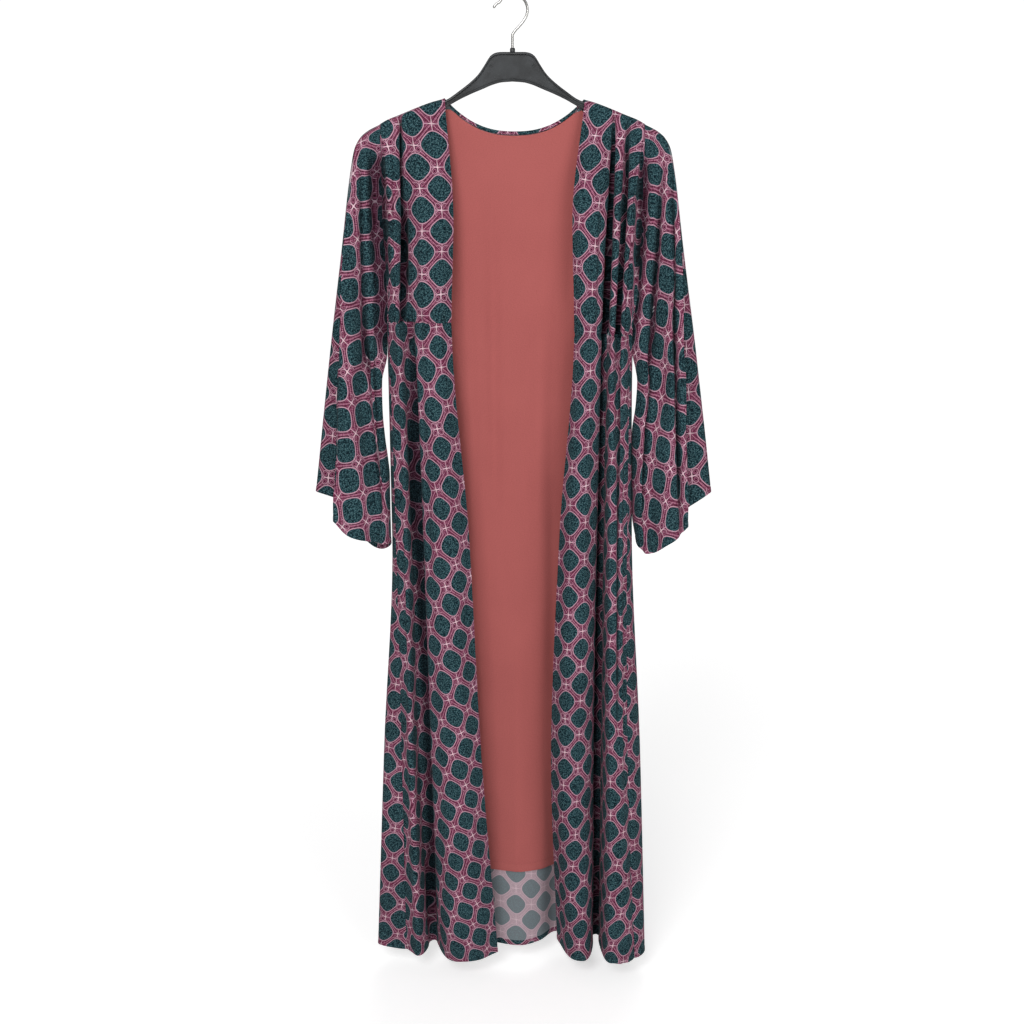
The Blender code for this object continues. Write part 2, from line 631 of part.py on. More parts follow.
def cloth_object(name, grid, normals, material, wall):
    """Cloth wall on a grid of points."""
    rows, columns = grid.shape[:2]
    inside = rows * columns
    last = columns - 1
    crossed = np.cross(np.diff(grid, axis=1)[:-1], np.diff(grid, axis=0)[:, :-1])
    turned = (crossed * normals[:-1, :-1]).sum() < 0
    faces = []

    def at(row, column, layer):
        return layer + row * columns + column

    def add(corners):
        faces.append([corners[0], *reversed(corners[1:])] if turned else corners)

    for row in range(rows - 1):
        for column in range(last):
            corners = ((row, column), (row, column + 1), (row + 1, column + 1), (row + 1, column))
            add([at(*corner, 0) for corner in corners])
            add([at(*corners[i], inside) for i in (0, 3, 2, 1)])
    for column in range(last):
        after = column + 1
        low = rows - 1
        add([at(0, column, 0), at(0, column, inside), at(0, after, inside), at(0, after, 0)])
        add([at(low, column, 0), at(low, after, 0), at(low, after, inside), at(low, column, inside)])
    for row in range(rows - 1):
        add([at(row, 0, 0), at(row + 1, 0, 0), at(row + 1, 0, inside), at(row, 0, inside)])
        add([at(row, last, 0), at(row, last, inside), at(row + 1, last, inside), at(row + 1, last, 0)])
    points = np.concatenate([grid + normals * wall / 2, grid - normals * wall / 2]).reshape(-1, 3)
    item = mesh_object(name, points, faces, material)
    item.data.set_sharp_from_angle(angle=RIM_ANGLE)
    return item


def tube_faces(stations, around):
    """Faces of a closed tube of stations with as many points around, with end caps."""
    faces = []
    for station in range(stations - 1):
        start = station * around
        following = start + around
        for j in range(around):
            after = (j + 1) % around
            faces.append((start + j, start + after, following + after, following + j))
    faces.append(tuple(reversed(range(around))))
    faces.append(tuple((stations - 1) * around + j for j in range(around)))
    return faces


def turn_outward(item):
    """Make every face of a closed mesh face outward."""
    mesh = item.data
    shape = bmesh.new()
    shape.from_mesh(mesh)
    bmesh.ops.recalc_face_normals(shape, faces=shape.faces)
    shape.to_mesh(mesh)
    shape.free()


def neck_binding(back, material):
    """Narrow binding on the back neck edge, over the back and its lining."""
    first = column_of(BACK, "neck_right") + BINDING_END_COLUMNS
    last = column_of(BACK, "neck_left") - BINDING_END_COLUMNS
    edge = back[0, first:last + 1]
    points = []
    for x, y, z in edge:
        share = float(binding_share(x))
        half_depth = BINDING_DEPTH / 2 * (1 + share) / 2
        height = BINDING_HEIGHT * share
        bend = BINDING_BEND * share
        section = (
            (-half_depth, 0), (half_depth, 0), (half_depth, height - bend),
            (half_depth - bend, height), (bend - half_depth, height), (-half_depth, height - bend),
        )
        middle = y - LINING_INSET / 2 * share
        points += [(x, middle + out, z + SEAM_GAP + up) for out, up in section]
    item = mesh_object("neck_binding", points, tube_faces(len(edge), len(section)), material)
    turn_outward(item)
    return item


def hanger_section(station):
    """Outline of the hanger at one station: thick rims above and below a thin web."""
    middle = (station.top + station.bottom) / 2
    depth = station.half_depth
    rim = min(HANGER_RIM, (station.top - station.bottom) * HANGER_RIM_SHARE)
    bend = min(HANGER_ROUND, rim * HANGER_ROUND_RIM_SHARE, depth * HANGER_ROUND_DEPTH_SHARE)
    web = min(HANGER_WEB, depth * HANGER_WEB_SHARE)
    upper = (
        (0, station.top), (depth - bend, station.top), (depth, station.top - bend),
        (depth, station.top - rim), (web, station.top - rim - HANGER_WEB_SLOPE), (web, middle),
    )
    lower = (
        (web, station.bottom + rim + HANGER_WEB_SLOPE), (depth, station.bottom + rim),
        (depth, station.bottom + bend), (depth - bend, station.bottom), (0, station.bottom),
    )
    half = upper + lower
    other = [(-y, z) for y, z in reversed(half[1:-1])]
    return list(half) + other


def hanger_body(material):
    """Plastic hanger with two blind dimples in its web."""
    stations = [HangerStation(-row.x, row.top, row.bottom, row.half_depth) for row in reversed(HANGER[1:])]
    stations += HANGER
    sections = [hanger_section(station) for station in stations]
    points = [(station.x, y, z) for station, section in zip(stations, sections) for y, z in section]
    item = mesh_object("hanger_body", points, tube_faces(len(stations), len(sections[0])), material, False)
    turn_outward(item)
    for side in (-1, 1):
        depth = 2 * DIMPLE_DEPTH
        cutter = cylinder(f"dimple_cutter_{side}", DIMPLE_RADIUS, depth, material)
        cutter.rotation_euler = (math.pi / 2, 0, 0)
        cutter.location = (side * DIMPLE_X * MM, -HANGER_WEB * MM, DIMPLE_Z * MM)
        cutter.hide_render = True
        cutter.display_type = "WIRE"
        cut = item.modifiers.new("dimple", "BOOLEAN")
        cut.operation = "DIFFERENCE"
        cut.solver = "EXACT"
        cut.object = cutter
    return item


def cylinder(name, radius, height, material, sides=16):
    """Upright cylinder about its own origin."""
    points = []
    for level in (-height / 2, height / 2):
        for i in range(sides):
            angle = 2 * math.pi * i / sides
            points.append((radius * math.cos(angle), radius * math.sin(angle), level))
    item = mesh_object(name, points, tube_faces(2, sides), material, False)
    turn_outward(item)
    return item


def hanger_collar(material):
    """Small collar between the hanger and its hook."""
    item = cylinder("hanger_collar", COLLAR_RADIUS, COLLAR_TOP_Z - COLLAR_BOTTOM_Z, material)
    item.location = (0, 0, (COLLAR_BOTTOM_Z + COLLAR_TOP_Z) / 2 * MM)
    return item


def hanger_hook(material):
    """Steel wire from the collar up, round over the rail and out at the tip."""
    path = list(HOOK_SHANK)
    for i in range(HOOK_ARC_STEPS + 1):
        angle = math.radians(HOOK_ARC_END * i / HOOK_ARC_STEPS)
        path.append((HOOK_RADIUS * math.cos(angle), HOOK_CENTRE_Z + HOOK_RADIUS * math.sin(angle)))
    path += HOOK_TIP
    curve = bpy.data.curves.new("hanger_hook", "CURVE")
    curve.dimensions = "3D"
    curve.bevel_depth = WIRE_RADIUS * MM
    curve.bevel_resolution = 2
    curve.use_fill_caps = True
    line = curve.splines.new("POLY")
    line.points.add(len(path) - 1)
    for point, (x, z) in zip(line.points, path):
        point.co = (x * MM, 0, z * MM, 1)
    line.use_smooth = True
    curve.materials.append(material)
    item = bpy.data.objects.new("hanger_hook", curve)
    bpy.context.scene.collection.objects.link(item)
    return item


def main():
    """Build every piece of the kimono and of the hanger."""
    clear_scene()
    print_cloth = principled("printed_cloth", (0.075, 0.085, 0.105), 0.8)
    lining_cloth = principled("lining_cloth", (0.40, 0.115, 0.11), 0.75)
    plastic = principled("hanger_plastic", (0.045, 0.048, 0.052), 0.45)
    steel = principled("hook_steel", (0.72, 0.72, 0.7), 0.25, 1.0)
    back = back_grid()
    back_normals = grid_normals(back, (0, 1, 0))
    fit_back_top(back_normals)
    for name, lines, waist, back_column in (
        ("right", FRONT_RIGHT, WAIST_RIGHT_Z, 0),
        ("left", FRONT_LEFT, WAIST_LEFT_Z, -1),
    ):
        bodice, skirt = front_grids(lines, waist)
        bodice_normals = grid_normals(bodice, (0, -1, 0))
        skirt_normals = grid_normals(skirt, (0, -1, 0))
        fit_seams(bodice_normals, skirt_normals, back_normals, lines, back_column)
        cloth_object(f"front_bodice_{name}", bodice, bodice_normals, print_cloth, CLOTH_WALL)
        cloth_object(f"front_skirt_{name}", skirt, skirt_normals, print_cloth, CLOTH_WALL)
    cloth_object("back", back, back_normals, print_cloth, CLOTH_WALL)
    lining = lining_grid()
    cloth_object("back_lining", lining, grid_normals(lining, (0, 1, 0)), lining_cloth, LINING_WALL)
    for name, lines, folds, inner, side in (
        ("right", FRONT_RIGHT, SLEEVE_RIGHT_FOLDS, SLEEVE_INNER_RIGHT, -1),
        ("left", FRONT_LEFT, SLEEVE_LEFT_FOLDS, SLEEVE_INNER_LEFT, 1),
    ):
        grid = sleeve_grid(lines, folds, inner, side)
        normals = grid_normals(grid, grid - grid.mean(axis=1, keepdims=True), ring=True)
        normals[:SLEEVE_EDGE_ROWS] = flatten(normals[:SLEEVE_EDGE_ROWS], 0)
        grid = np.concatenate([grid, grid[:, :1]], axis=1)
        normals = np.concatenate([normals, normals[:, :1]], axis=1)
        front_columns = column_of(lines, "seam") - column_of(lines, "crest")
        seam = round(2 * SLEEVE_SEAM_RING * front_columns)
        for half, columns in (("front", slice(0, seam + 1)), ("back", slice(seam, None))):
            piece = pull_in(grid[:, columns].copy(), True, True, level=False)
            cloth_object(f"sleeve_{half}_{name}", piece, normals[:, columns], print_cloth, CLOTH_WALL)
    neck_binding(back, print_cloth)
    hanger_body(plastic)
    hanger_collar(plastic)
    hanger_hook(steel)


main()
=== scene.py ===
"""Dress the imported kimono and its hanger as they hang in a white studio.

The front faces -Y and the wearer's right is at -X. Sizes and tables are in millimetres
and angles in degrees, unless a name says otherwise. Blender's own units are metres.
"""

import logging
import math
from dataclasses import dataclass, field
from enum import Enum
from typing import NamedTuple, Optional, Sequence

import bmesh
import bpy
import numpy as np
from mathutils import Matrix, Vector


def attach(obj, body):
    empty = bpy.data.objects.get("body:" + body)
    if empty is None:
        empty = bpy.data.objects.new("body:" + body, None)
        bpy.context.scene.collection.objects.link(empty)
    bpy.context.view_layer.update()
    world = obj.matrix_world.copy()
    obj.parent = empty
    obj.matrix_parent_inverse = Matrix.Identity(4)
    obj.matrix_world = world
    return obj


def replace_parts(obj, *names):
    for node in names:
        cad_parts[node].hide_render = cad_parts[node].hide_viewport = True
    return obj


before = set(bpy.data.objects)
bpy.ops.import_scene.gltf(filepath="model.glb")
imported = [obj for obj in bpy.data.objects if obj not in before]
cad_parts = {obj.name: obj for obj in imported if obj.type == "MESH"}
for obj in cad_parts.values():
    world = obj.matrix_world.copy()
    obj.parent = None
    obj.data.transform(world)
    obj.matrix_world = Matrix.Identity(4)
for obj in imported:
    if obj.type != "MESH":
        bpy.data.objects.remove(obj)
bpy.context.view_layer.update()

MM = 0.001
BODY = "root"
CLOTH_MAP = "cloth"
PRINT_MAP = "print"
# Map of the shade painted into the printed colour deep in folds and beside the sleeves.
PAINTED_SHADE_MAP = "fold"
RIM_ANGLE = math.radians(50)
LOG = logging.getLogger("kimono")

Array = np.ndarray
Colour = tuple[float, float, float]
Point = tuple[float, float, float]
Span = tuple[float, float]
Socket = bpy.types.NodeSocket
Tree = bpy.types.NodeTree
Material = bpy.types.Material
Mesh = bpy.types.Mesh
Item = bpy.types.Object


class Side(Enum):
    """Side of the wearer; the value is the sign of X there."""

    RIGHT = -1
    LEFT = 1


class Facing(Enum):
    """Where the right side of a panel looks; the value is the sign of Y there."""

    FRONT = -1
    BACK = 1


class Place(Enum):
    """Edge of the robe that the top of a fold line lies on."""

    SHOULDER = "shoulder"
    NECK = "neck"
    ARMHOLE = "armhole"


class Bend(Enum):
    """Cross-section of a crease: rounded, with a sharp middle, or as a slot between two folds."""

    SOFT = "soft"
    SHARP = "sharp"
    SLOT = "slot"

    def shape(self, off: Array) -> Array:
        """Give the section's height, at most 1, at distances from its middle in widths.

        Args:
            off: Distances.

        Returns:
            Heights.
        """
        off = np.abs(off)
        if self is Bend.SLOT:
            return 1 / (1 + off ** 4)
        return np.exp(-2 * off) if self is Bend.SHARP else np.exp(-off * off)


class FoldLine(NamedTuple):
    """A panel's fold line from top to hem, with its swell and the coarse columns up to the next.

    swell is how far a crest or a furrow runs on level; 0 is neither.
    """

    name: str
    place: Place
    x_top: float
    y_top: float
    z_top: Optional[float]
    x_chest: Optional[float]
    y_chest: Optional[float]
    x_waist: float
    y_waist: float
    x_hip: float
    y_hip: float
    x_knee: float
    y_knee: float
    x_hem: float
    y_hem: float
    swell: float
    steps: int


class SleeveFold(NamedTuple):
    """One fold of a sleeve at its wrist edge; ring is its share of the way round."""

    name: str
    ring: float
    distance: float
    y: float
    z: float
    swell: float


class Crease(NamedTuple):
    """One crease from its top to its foot; depth is positive for a ridge.

    place is x on a panel, distance from the middle plane on the front of a sleeve, and
    hundredths of the way round on its back; width is in the same unit. For a gather of the
    waist seam it is a share of the front's width, and z is the reach above and below the seam.
    """

    place_top: float
    z_top: float
    place_foot: float
    z_foot: float
    width: float
    depth: float
    bend: Bend = Bend.SOFT

    def spread(self, places: Array, z: Array, fade: float) -> tuple[Array, Array]:
        """Measure points against the crease.

        Args:
            places: Place of each point across the cloth.
            z: Height of each point.
            fade: Share of the length over which each end runs out.

        Returns:
            Distance from the crease in widths, and its strength from 0 to 1.
        """
        share = (self.z_top - z) / (self.z_top - self.z_foot)
        middle = self.place_top + (self.place_foot - self.place_top) * np.clip(share, 0, 1)
        return (places - middle) / self.width, smooth_step(share / fade) * smooth_step((1 - share) / fade)


class HangerStation(NamedTuple):
    """Outline of the hanger at one distance from its middle."""

    x: float
    top: float
    bottom: float
    half_depth: float


class PrintLayout(NamedTuple):
    """How a panel was laid on the printed cloth: turn of the lattice, its pitch and one cell's middle.

    squeeze is how much cloth small folds take up across the panel, and twist is how much the lattice
    turns along the panel, in radians a millimetre.
    """

    turn: float
    pitch: float
    across: float
    along: float
    squeeze: float = 1.0
    twist: float = 0.0

    def places(self, cloth: Array) -> Array:
        """Turn metres across and along the cloth into pitches along the print's two directions.

        Args:
            cloth: Metres across and along.

        Returns:
            Pitches along the two directions.
        """
        turn = math.radians(self.turn)
        u, v = cloth[..., 0] / MM, cloth[..., 1] / MM
        u, v = u - self.twist * v ** 2 / 2, v + self.twist * u * v
        u, v = (u - self.across) * self.squeeze, v - self.along
        first = (u * math.cos(turn) + v * math.sin(turn)) / self.pitch
        second = (v * math.cos(turn) - u * math.sin(turn)) / self.pitch
        return np.stack([first, second], axis=-1) + 0.5


def slopes(knots: Array, values: Array) -> Array:
    """Find slopes of a curve that never overshoots its values.

    Args:
        knots: Rising places.
        values: One for each knot.

    Returns:
        A slope for each knot.
    """
    steps = np.diff(knots)
    rises = np.diff(values) / steps
    found = np.zeros(len(knots))
    found[[0, -1]] = rises[[0, -1]]
    for i in range(1, len(knots) - 1):
        before, after = rises[i - 1], rises[i]
        if before * after > 0:
            first = 2 * steps[i] + steps[i - 1]
            second = steps[i] + 2 * steps[i - 1]
            found[i] = (first + second) / (first / before + second / after)
    return found


def ease(start: Array, end: Array, slope_start: Array, slope_end: Array, share: Array) -> Array:
    """Follow a cubic between two values.

    Args:
        start: Value at share 0.
        end: Value at share 1.
        slope_start: Slope at share 0.
        slope_end: Slope at share 1.
        share: Places from 0 to 1.

    Returns:
        The cubic's value at each place.
    """
    rest = 1 - share
    return (
        start * rest * rest * (1 + 2 * share)
        + end * share * share * (3 - 2 * share)
        + slope_start * share * rest * rest
        - slope_end * share * share * rest
    )


def along(knots: Sequence[float], values: Sequence[float], place: Array) -> Array:
    """Read the smooth curve through a table, level beyond its ends.

    Args:
        knots: Rising places.
        values: One for each knot.
        place: Where to read.

    Returns:
        The value at each place.
    """
    knots, values = np.asarray(knots, float), np.asarray(values, float)
    place = np.clip(np.asarray(place, float), knots[0], knots[-1])
    tangents = slopes(knots, values)
    i = np.clip(np.searchsorted(knots, place, side="right") - 1, 0, len(knots) - 2)
    width = knots[i + 1] - knots[i]
    share = (place - knots[i]) / width
    return ease(values[i], values[i + 1], tangents[i] * width, tangents[i + 1] * width, share)


def down(heights: Sequence[float], values: Sequence[float], z: Array) -> Array:
    """Read a table whose heights fall from row to row, at heights z."""
    return along(-np.asarray(heights, float), values, -np.asarray(z, float))


def across_folds(x: Array, y: Array, swells: Array, at: Array, share: Array,
                 ring: bool = False) -> tuple[Array, Array]:
    """Join fold lines by a smooth curve that is level at crests and furrows.

    Args:
        x: x of each line.
        y: y of each line.
        swells: Swell of each line.
        at: Line before each column.
        share: Share of the way to the next line.
        ring: True where the last line is the first again.

    Returns:
        x and y of each column.
    """
    index = np.arange(len(x), dtype=float)
    slope_x, slope_y = slopes(index, x), slopes(index, y)
    if ring:
        slope_x[[0, -1]] = 0
        slope_y[[0, -1]] = (y[1] - y[-2]) / 2
    after = at + 1
    rise = x[after] - x[at]
    start_x, end_x = (np.where(swells[i] > 0, swells[i] * rise, slope_x[i]) for i in (at, after))
    start_y, end_y = (np.where(swells[i] > 0, 0, slope_y[i]) for i in (at, after))
    return ease(x[at], x[after], start_x, end_x, share), ease(y[at], y[after], start_y, end_y, share)


def smooth_step(share: Array) -> Array:
    """Rise softly from 0 to 1 as share does."""
    share = np.clip(share, 0, 1)
    return share * share * (3 - 2 * share)


def near(lengths: Array, width: float) -> Array:
    """Give a bump of height 1 at length 0 that runs out over the given width."""
    return np.exp(-(lengths / width) ** 2)


def finer(values: Sequence[float], factor: int) -> Array:
    """Put more values between those of a rising list, factor steps for each old one."""
    index = np.arange(len(values), dtype=float)
    return along(index, values, np.linspace(0, index[-1], (len(values) - 1) * factor + 1))


def unit(vectors: Array) -> Array:
    """Scale vectors to length 1."""
    return vectors / np.maximum(np.linalg.norm(vectors, axis=-1, keepdims=True), 1e-9)


def run_along(path: Array) -> Array:
    """Add up the distances along a line of points."""
    return np.concatenate([[0], np.cumsum(np.linalg.norm(np.diff(path, axis=0), axis=1))])


def lengths_over(grid: Array, axis: int) -> Array:
    """Add up the distances between neighbours of a grid.

    Args:
        grid: Rows by columns of points.
        axis: 0 to go down the columns, 1 to go along the rows.

    Returns:
        Length from the first row or column to each point.
    """
    steps = np.linalg.norm(np.diff(grid, axis=axis), axis=2)
    pad = [(0, 0), (0, 0)]
    pad[axis] = (1, 0)
    return np.pad(np.cumsum(steps, axis=axis), pad)


def grid_normals(grid: Array, outward: Array, ring: bool = False) -> Array:
    """Find the normals of a grid.

    Args:
        grid: Rows by columns of points.
        outward: Directions that they agree with on the whole.
        ring: True where the last column joins the first.

    Returns:
        A unit normal for each point.
    """
    over_columns = np.gradient(grid, axis=1)
    if ring:
        over_columns = (np.roll(grid, -1, axis=1) - np.roll(grid, 1, axis=1)) / 2
    normals = unit(np.cross(over_columns, np.gradient(grid, axis=0)))
    return -normals if (normals * outward).sum() < 0 else normals


def stand_out(grid: Array, outward: Array, heights: Array, ring: bool = False) -> Array:
    """Move the points of a grid along their normals by the given heights."""
    return grid + grid_normals(grid, outward, ring) * heights[:, :, None]


def laid_flat(grid: Array, anchor_row: int, anchor_column: int) -> Array:
    """Lay a grid of cloth flat.

    Args:
        grid: Rows by columns of points.
        anchor_row: Row where lengths along the cloth start.
        anchor_column: Column where lengths across it start.

    Returns:
        Metres across and along the cloth.
    """
    across = lengths_over(grid * (1, 1, 0), 1)
    across = across - across[:, anchor_column:anchor_column + 1]
    drop = lengths_over(grid, 0)
    drop = drop - drop[anchor_row:anchor_row + 1]
    run = np.sign((grid[:, -1, 0] - grid[:, 0, 0]).sum())
    return np.stack([run * across, -drop], axis=2) * MM


def crease_heights(places: Array, z: Array, creases: Sequence[Crease], fade: float) -> Array:
    """Add up a table of creases.

    Args:
        places: Place of each point across the cloth.
        z: Height of each point.
        creases: The table.
        fade: Share of the length over which each end runs out.

    Returns:
        How far each point stands out of the plain cloth.
    """
    total = np.zeros_like(z)
    for crease in creases:
        off, strength = crease.spread(places, z, fade)
        total += crease.depth * crease.bend.shape(off) * strength
    return total


def slot_take_up(places: Array, z: Array, creases: Sequence[Crease], fade: float, side: Side) -> Array:
    """Add up the cloth that slots take up on the way from the front edge.

    Args:
        places: Place of each point across the cloth.
        z: Height of each point.
        creases: The table.
        fade: Share of the length over which each end runs out.
        side: Side of the robe.

    Returns:
        Signed length hidden up to each point.
    """
    total = np.zeros_like(z)
    for crease in creases:
        if crease.bend is Bend.SLOT:
            off, strength = crease.spread(places, z, fade)
            shape = crease.bend.shape(off)
            passed = np.where(off * side.value > 0, 2 - shape, shape)
            total += side.value * abs(crease.depth) * passed * strength
    return total


def painted_fold_shade(heights: Array, shallow: float = 1.5, deep: float = 10.0) -> Array:
    """Give the shade painted into each point's colour, from 0 to 1, by how deep in a fold it lies: from its
    height above the plain cloth.
    """
    return smooth_step((-heights - shallow) / (deep - shallow))


@dataclass(frozen=True)
class Hem:
    """A turned hem: doubled cloth at the edge and a groove along its stitches."""

    height: float
    raised: float = 0.35
    groove: float = 0.4
    groove_width: float = 1.3

    def heights(self, grid: Array) -> Array:
        """Give how far each point stands out of plain cloth whose last row is the hem."""
        up = lengths_over(grid[::-1], 0)[::-1]
        doubled = self.raised * smooth_step((self.height - up) / self.groove_width + 0.5)
        return doubled - self.groove * near(up - self.height, self.groove_width)


@dataclass(frozen=True)
class Drape:
    """Levels and edges that every panel of the robe hangs by."""

    chest_z: float = -290.0
    waist_right_z: float = -438.0
    waist_left_z: float = -457.0
    waist_half_span: float = 90.0
    hip_z: float = -750.0
    knee_z: float = -1100.0
    hem_z: float = -1455.0
    lining_hem_z: float = -1325.0
    shoulder_roll: float = 7.0
    ridge_gap: float = 0.1
    ridge_x: tuple[float, ...] = (0, 72, 93, 112, 134, 153.5, 174, 181, 190)
    ridge_z: tuple[float, ...] = (-96, -121, -133, -138.4, -146.3, -154.2, -162.3, -166.3, -172)
    neck_middle_x: float = 3.0
    neck_half_width: float = 96.0
    neck_top_z: float = -133.0
    neck_drop: float = 43.5
    neck_power: float = 2.4
    binding_height: float = 4.6
    binding_taper: float = 14.0
    underarm_z: float = -402.0
    channel_depth: float = 13.0
    channel_width: float = 7.0
    channel_top_z: float = -178.0
    # Painted shade beside the sleeves reaches down to this height.
    channel_shade_foot_z: float = -505.0
    channel_range: float = 65.0

    def channel(self, z: Array, foot_z: float) -> Array:
        """Give how deep the cloth sinks between bodice and sleeve at height z, down to a foot; the painted
        shade there uses a lower foot.
        """
        rise = smooth_step((self.channel_top_z - z) / self.channel_range)
        return self.channel_depth * rise * smooth_step((z - foot_z) / self.channel_range)

    def ridge_height(self, x: Array) -> Array:
        """Give the height of the cloth's fold over the hanger arm at x."""
        return along(self.ridge_x, self.ridge_z, np.abs(x))

    def binding_share(self, x: Array) -> Array:
        """Give the share of the neck binding's full height at x."""
        from_end = self.neck_half_width - np.abs(np.asarray(x, float) - self.neck_middle_x)
        return smooth_step(from_end / self.binding_taper)

    def neck_seam_height(self, x: Array) -> Array:
        """Give the height of the back's own neck edge, under the binding, at x."""
        share = np.clip(np.abs(np.asarray(x, float) - self.neck_middle_x) / self.neck_half_width, 0, 1)
        edge = self.neck_top_z - self.neck_drop * (1 - share ** self.neck_power)
        return edge - self.binding_height * self.binding_share(x)

    def waist_height(self, x: Array) -> Array:
        """Give the height of the waist level at x: the two fronts hang unevenly."""
        share = np.clip((np.asarray(x, float) / self.waist_half_span + 1) / 2, 0, 1)
        return self.waist_right_z + (self.waist_left_z - self.waist_right_z) * share


@dataclass
class Panel:
    """Cloth between fold lines that run from the top edge down to the hem."""

    drape: Drape
    lines: Sequence[FoldLine]
    facing: Facing
    refine: int = 4
    armhole_ease: float = 2.6
    shoulder_rows: tuple[float, ...] = (0, 0.004, 0.014, 0.03, 0.11, 0.25, 0.43, 0.63, 0.83, 1)
    armhole_rows: tuple[float, ...] = (0, 0.08, 0.17, 0.27, 0.38, 0.5, 0.62, 0.75, 0.88, 1)
    skirt_rows: tuple[float, ...] = (0, 0.04, 0.1, 0.2, 0.33, 0.47, 0.61, 0.75, 0.88, 1)
    bodice_refine: int = 7
    skirt_refine: int = 14
    hem_share: float = 0.986
    hem_rows: int = 12
    crease_fade: float = 0.3
    seam_width: float = 2.6
    seam_dip: float = 0.7
    seam_edge: float = 0.5
    seam_clear: float = 9.0

    def steps(self) -> list[int]:
        """List the number of fine columns from each fold line to the next."""
        return [line.steps * self.refine for line in self.lines]

    def column_of(self, name: str) -> int:
        """Give the column where the named fold line runs."""
        names = [line.name for line in self.lines]
        return sum(self.steps()[:names.index(name)])

    def knots(self, line: FoldLine) -> tuple[list[float], list[float], list[float]]:
        """List heights, x and y of the points that a fold line runs through, from the top down.

        Args:
            line: The fold line.

        Returns:
            Heights, x and y.
        """
        drape = self.drape
        top = line.z_top
        if line.place is Place.SHOULDER:
            top = float(drape.ridge_height(line.x_top))
        elif line.place is Place.NECK:
            top = float(drape.neck_seam_height(line.x_top))
        heights, x, y = [top], [line.x_top], [line.y_top]
        if line.x_chest is not None:
            heights.append(drape.chest_z)
            x.append(line.x_chest)
            y.append(line.y_chest)
        heights += [float(drape.waist_height(line.x_waist)), drape.hip_z, drape.knee_z, drape.hem_z]
        x += [line.x_waist, line.x_hip, line.x_knee, line.x_hem]
        y += [line.y_waist, line.y_hip, line.y_knee, line.y_hem]
        return heights, x, y

    def across(self, line_x: Sequence[float], line_y: Sequence[float]) -> tuple[Array, Array]:
        """Work out x and y of each column of one row from those of its fold lines.

        Args:
            line_x: x of each fold line.
            line_y: y of each fold line.

        Returns:
            x and y of each column.
        """
        steps = self.steps()[:-1]
        at = np.append(np.repeat(np.arange(len(steps)), steps), len(steps) - 1)
        share = np.concatenate([*(np.arange(count) / count for count in steps), [1]])
        swells = np.array([line.swell for line in self.lines], float)
        return across_folds(np.asarray(line_x, float), np.asarray(line_y, float), swells, at, share)

    def spread(self, values: Sequence[float]) -> Array:
        """Run straight between the values of the fold lines, one value for each column."""
        columns = np.cumsum([0, *self.steps()[:-1]])
        return np.interp(np.arange(columns[-1] + 1), columns, values)

    def column_tops(self) -> Array:
        """Find the height of each column's top end: shoulder ridge, neck edge or armhole."""
        drape, lines, steps = self.drape, self.lines, self.steps()
        tops = [self.knots(line)[0][0] for line in lines]
        x, _ = self.across([line.x_top for line in lines], [line.y_top for line in lines])
        heights = self.spread(tops)
        column = 0
        for i, line in enumerate(lines[:-1]):
            places = {line.place, lines[i + 1].place}
            stop = column + steps[i] + 1
            if Place.ARMHOLE not in places:
                edge = drape.neck_seam_height if Place.NECK in places else drape.ridge_height
                heights[column:stop] = edge(x[column:stop])
            elif Place.SHOULDER in places:
                share = np.linspace(0, 1, steps[i] + 1)
                high, low = (i, i + 1) if lines[i + 1].place is Place.ARMHOLE else (i + 1, i)
                bent = (share if high == i else share[::-1]) ** self.armhole_ease
                heights[column:stop] = tops[high] + (tops[low] - tops[high]) * bent
            column += steps[i]
        return heights

    def bodice_shares(self) -> Array:
        """List the rows of the bodice as shares from the shoulder, from the armhole and of the skirt."""
        shoulder = finer(self.shoulder_rows, self.bodice_refine)
        armhole = finer(self.armhole_rows, self.bodice_refine)
        return np.stack([shoulder, armhole, np.zeros_like(shoulder)], axis=1)

    def skirt_shares(self) -> Array:
        """List the rows of the skirt in the same way, closer together at the hem."""
        skirt = finer(self.skirt_rows, self.skirt_refine)
        skirt = np.append(skirt[skirt < self.hem_share], np.linspace(self.hem_share, 1, self.hem_rows))
        ones = np.ones_like(skirt)
        return np.stack([ones, ones, skirt], axis=1)

    def grid(self, rows: Array, free: Optional[Sequence[float]] = None) -> Array:
        """Work out the points of the panel.

        Args:
            rows: Shares from the shoulder, from the armhole and of the skirt, for each row.
            free: Share of each fold line, from its top, that the panel leaves free.

        Returns:
            Rows by columns of points.
        """
        lines, drape = self.lines, self.drape
        knots = [self.knots(line) for line in lines]
        waists = np.array([float(drape.waist_height(line.x_waist)) for line in lines])
        starts = np.zeros(len(lines)) if free is None else np.asarray(free, float)
        at_armhole = np.array([line.place is Place.ARMHOLE for line in lines])
        shares = np.where(at_armhole, rows[:, 1:2], rows[:, 0:1])
        line_tops = np.array([heights[0] for heights, _, _ in knots])
        line_z = line_tops + (waists - line_tops) * (starts + (1 - starts) * shares)
        line_z = line_z + (drape.hem_z - waists) * rows[:, 2:3]
        line_x = np.stack([down(h, x, line_z[:, i]) for i, (h, x, _) in enumerate(knots)], axis=1)
        line_y = np.stack([down(h, y, line_z[:, i]) for i, (h, _, y) in enumerate(knots)], axis=1)
        tops, column_waists, column_starts = self.column_tops(), self.spread(waists), self.spread(starts)
        points = []
        for row, row_x, row_y, row_shares in zip(rows, line_x, line_y, shares):
            x, y = self.across(row_x, row_y)
            share = column_starts + (1 - column_starts) * self.spread(row_shares)
            z = tops + (column_waists - tops) * share + (drape.hem_z - column_waists) * row[2]
            turn = np.clip((drape.ridge_height(x) - z) / drape.shoulder_roll, 0, 1)
            turn = np.sqrt(1 - (1 - turn) ** 2)
            y = y * turn + self.facing.value * drape.ridge_gap * (1 - turn)
            points.append(np.stack([x, y, z], axis=1))
        return np.array(points)

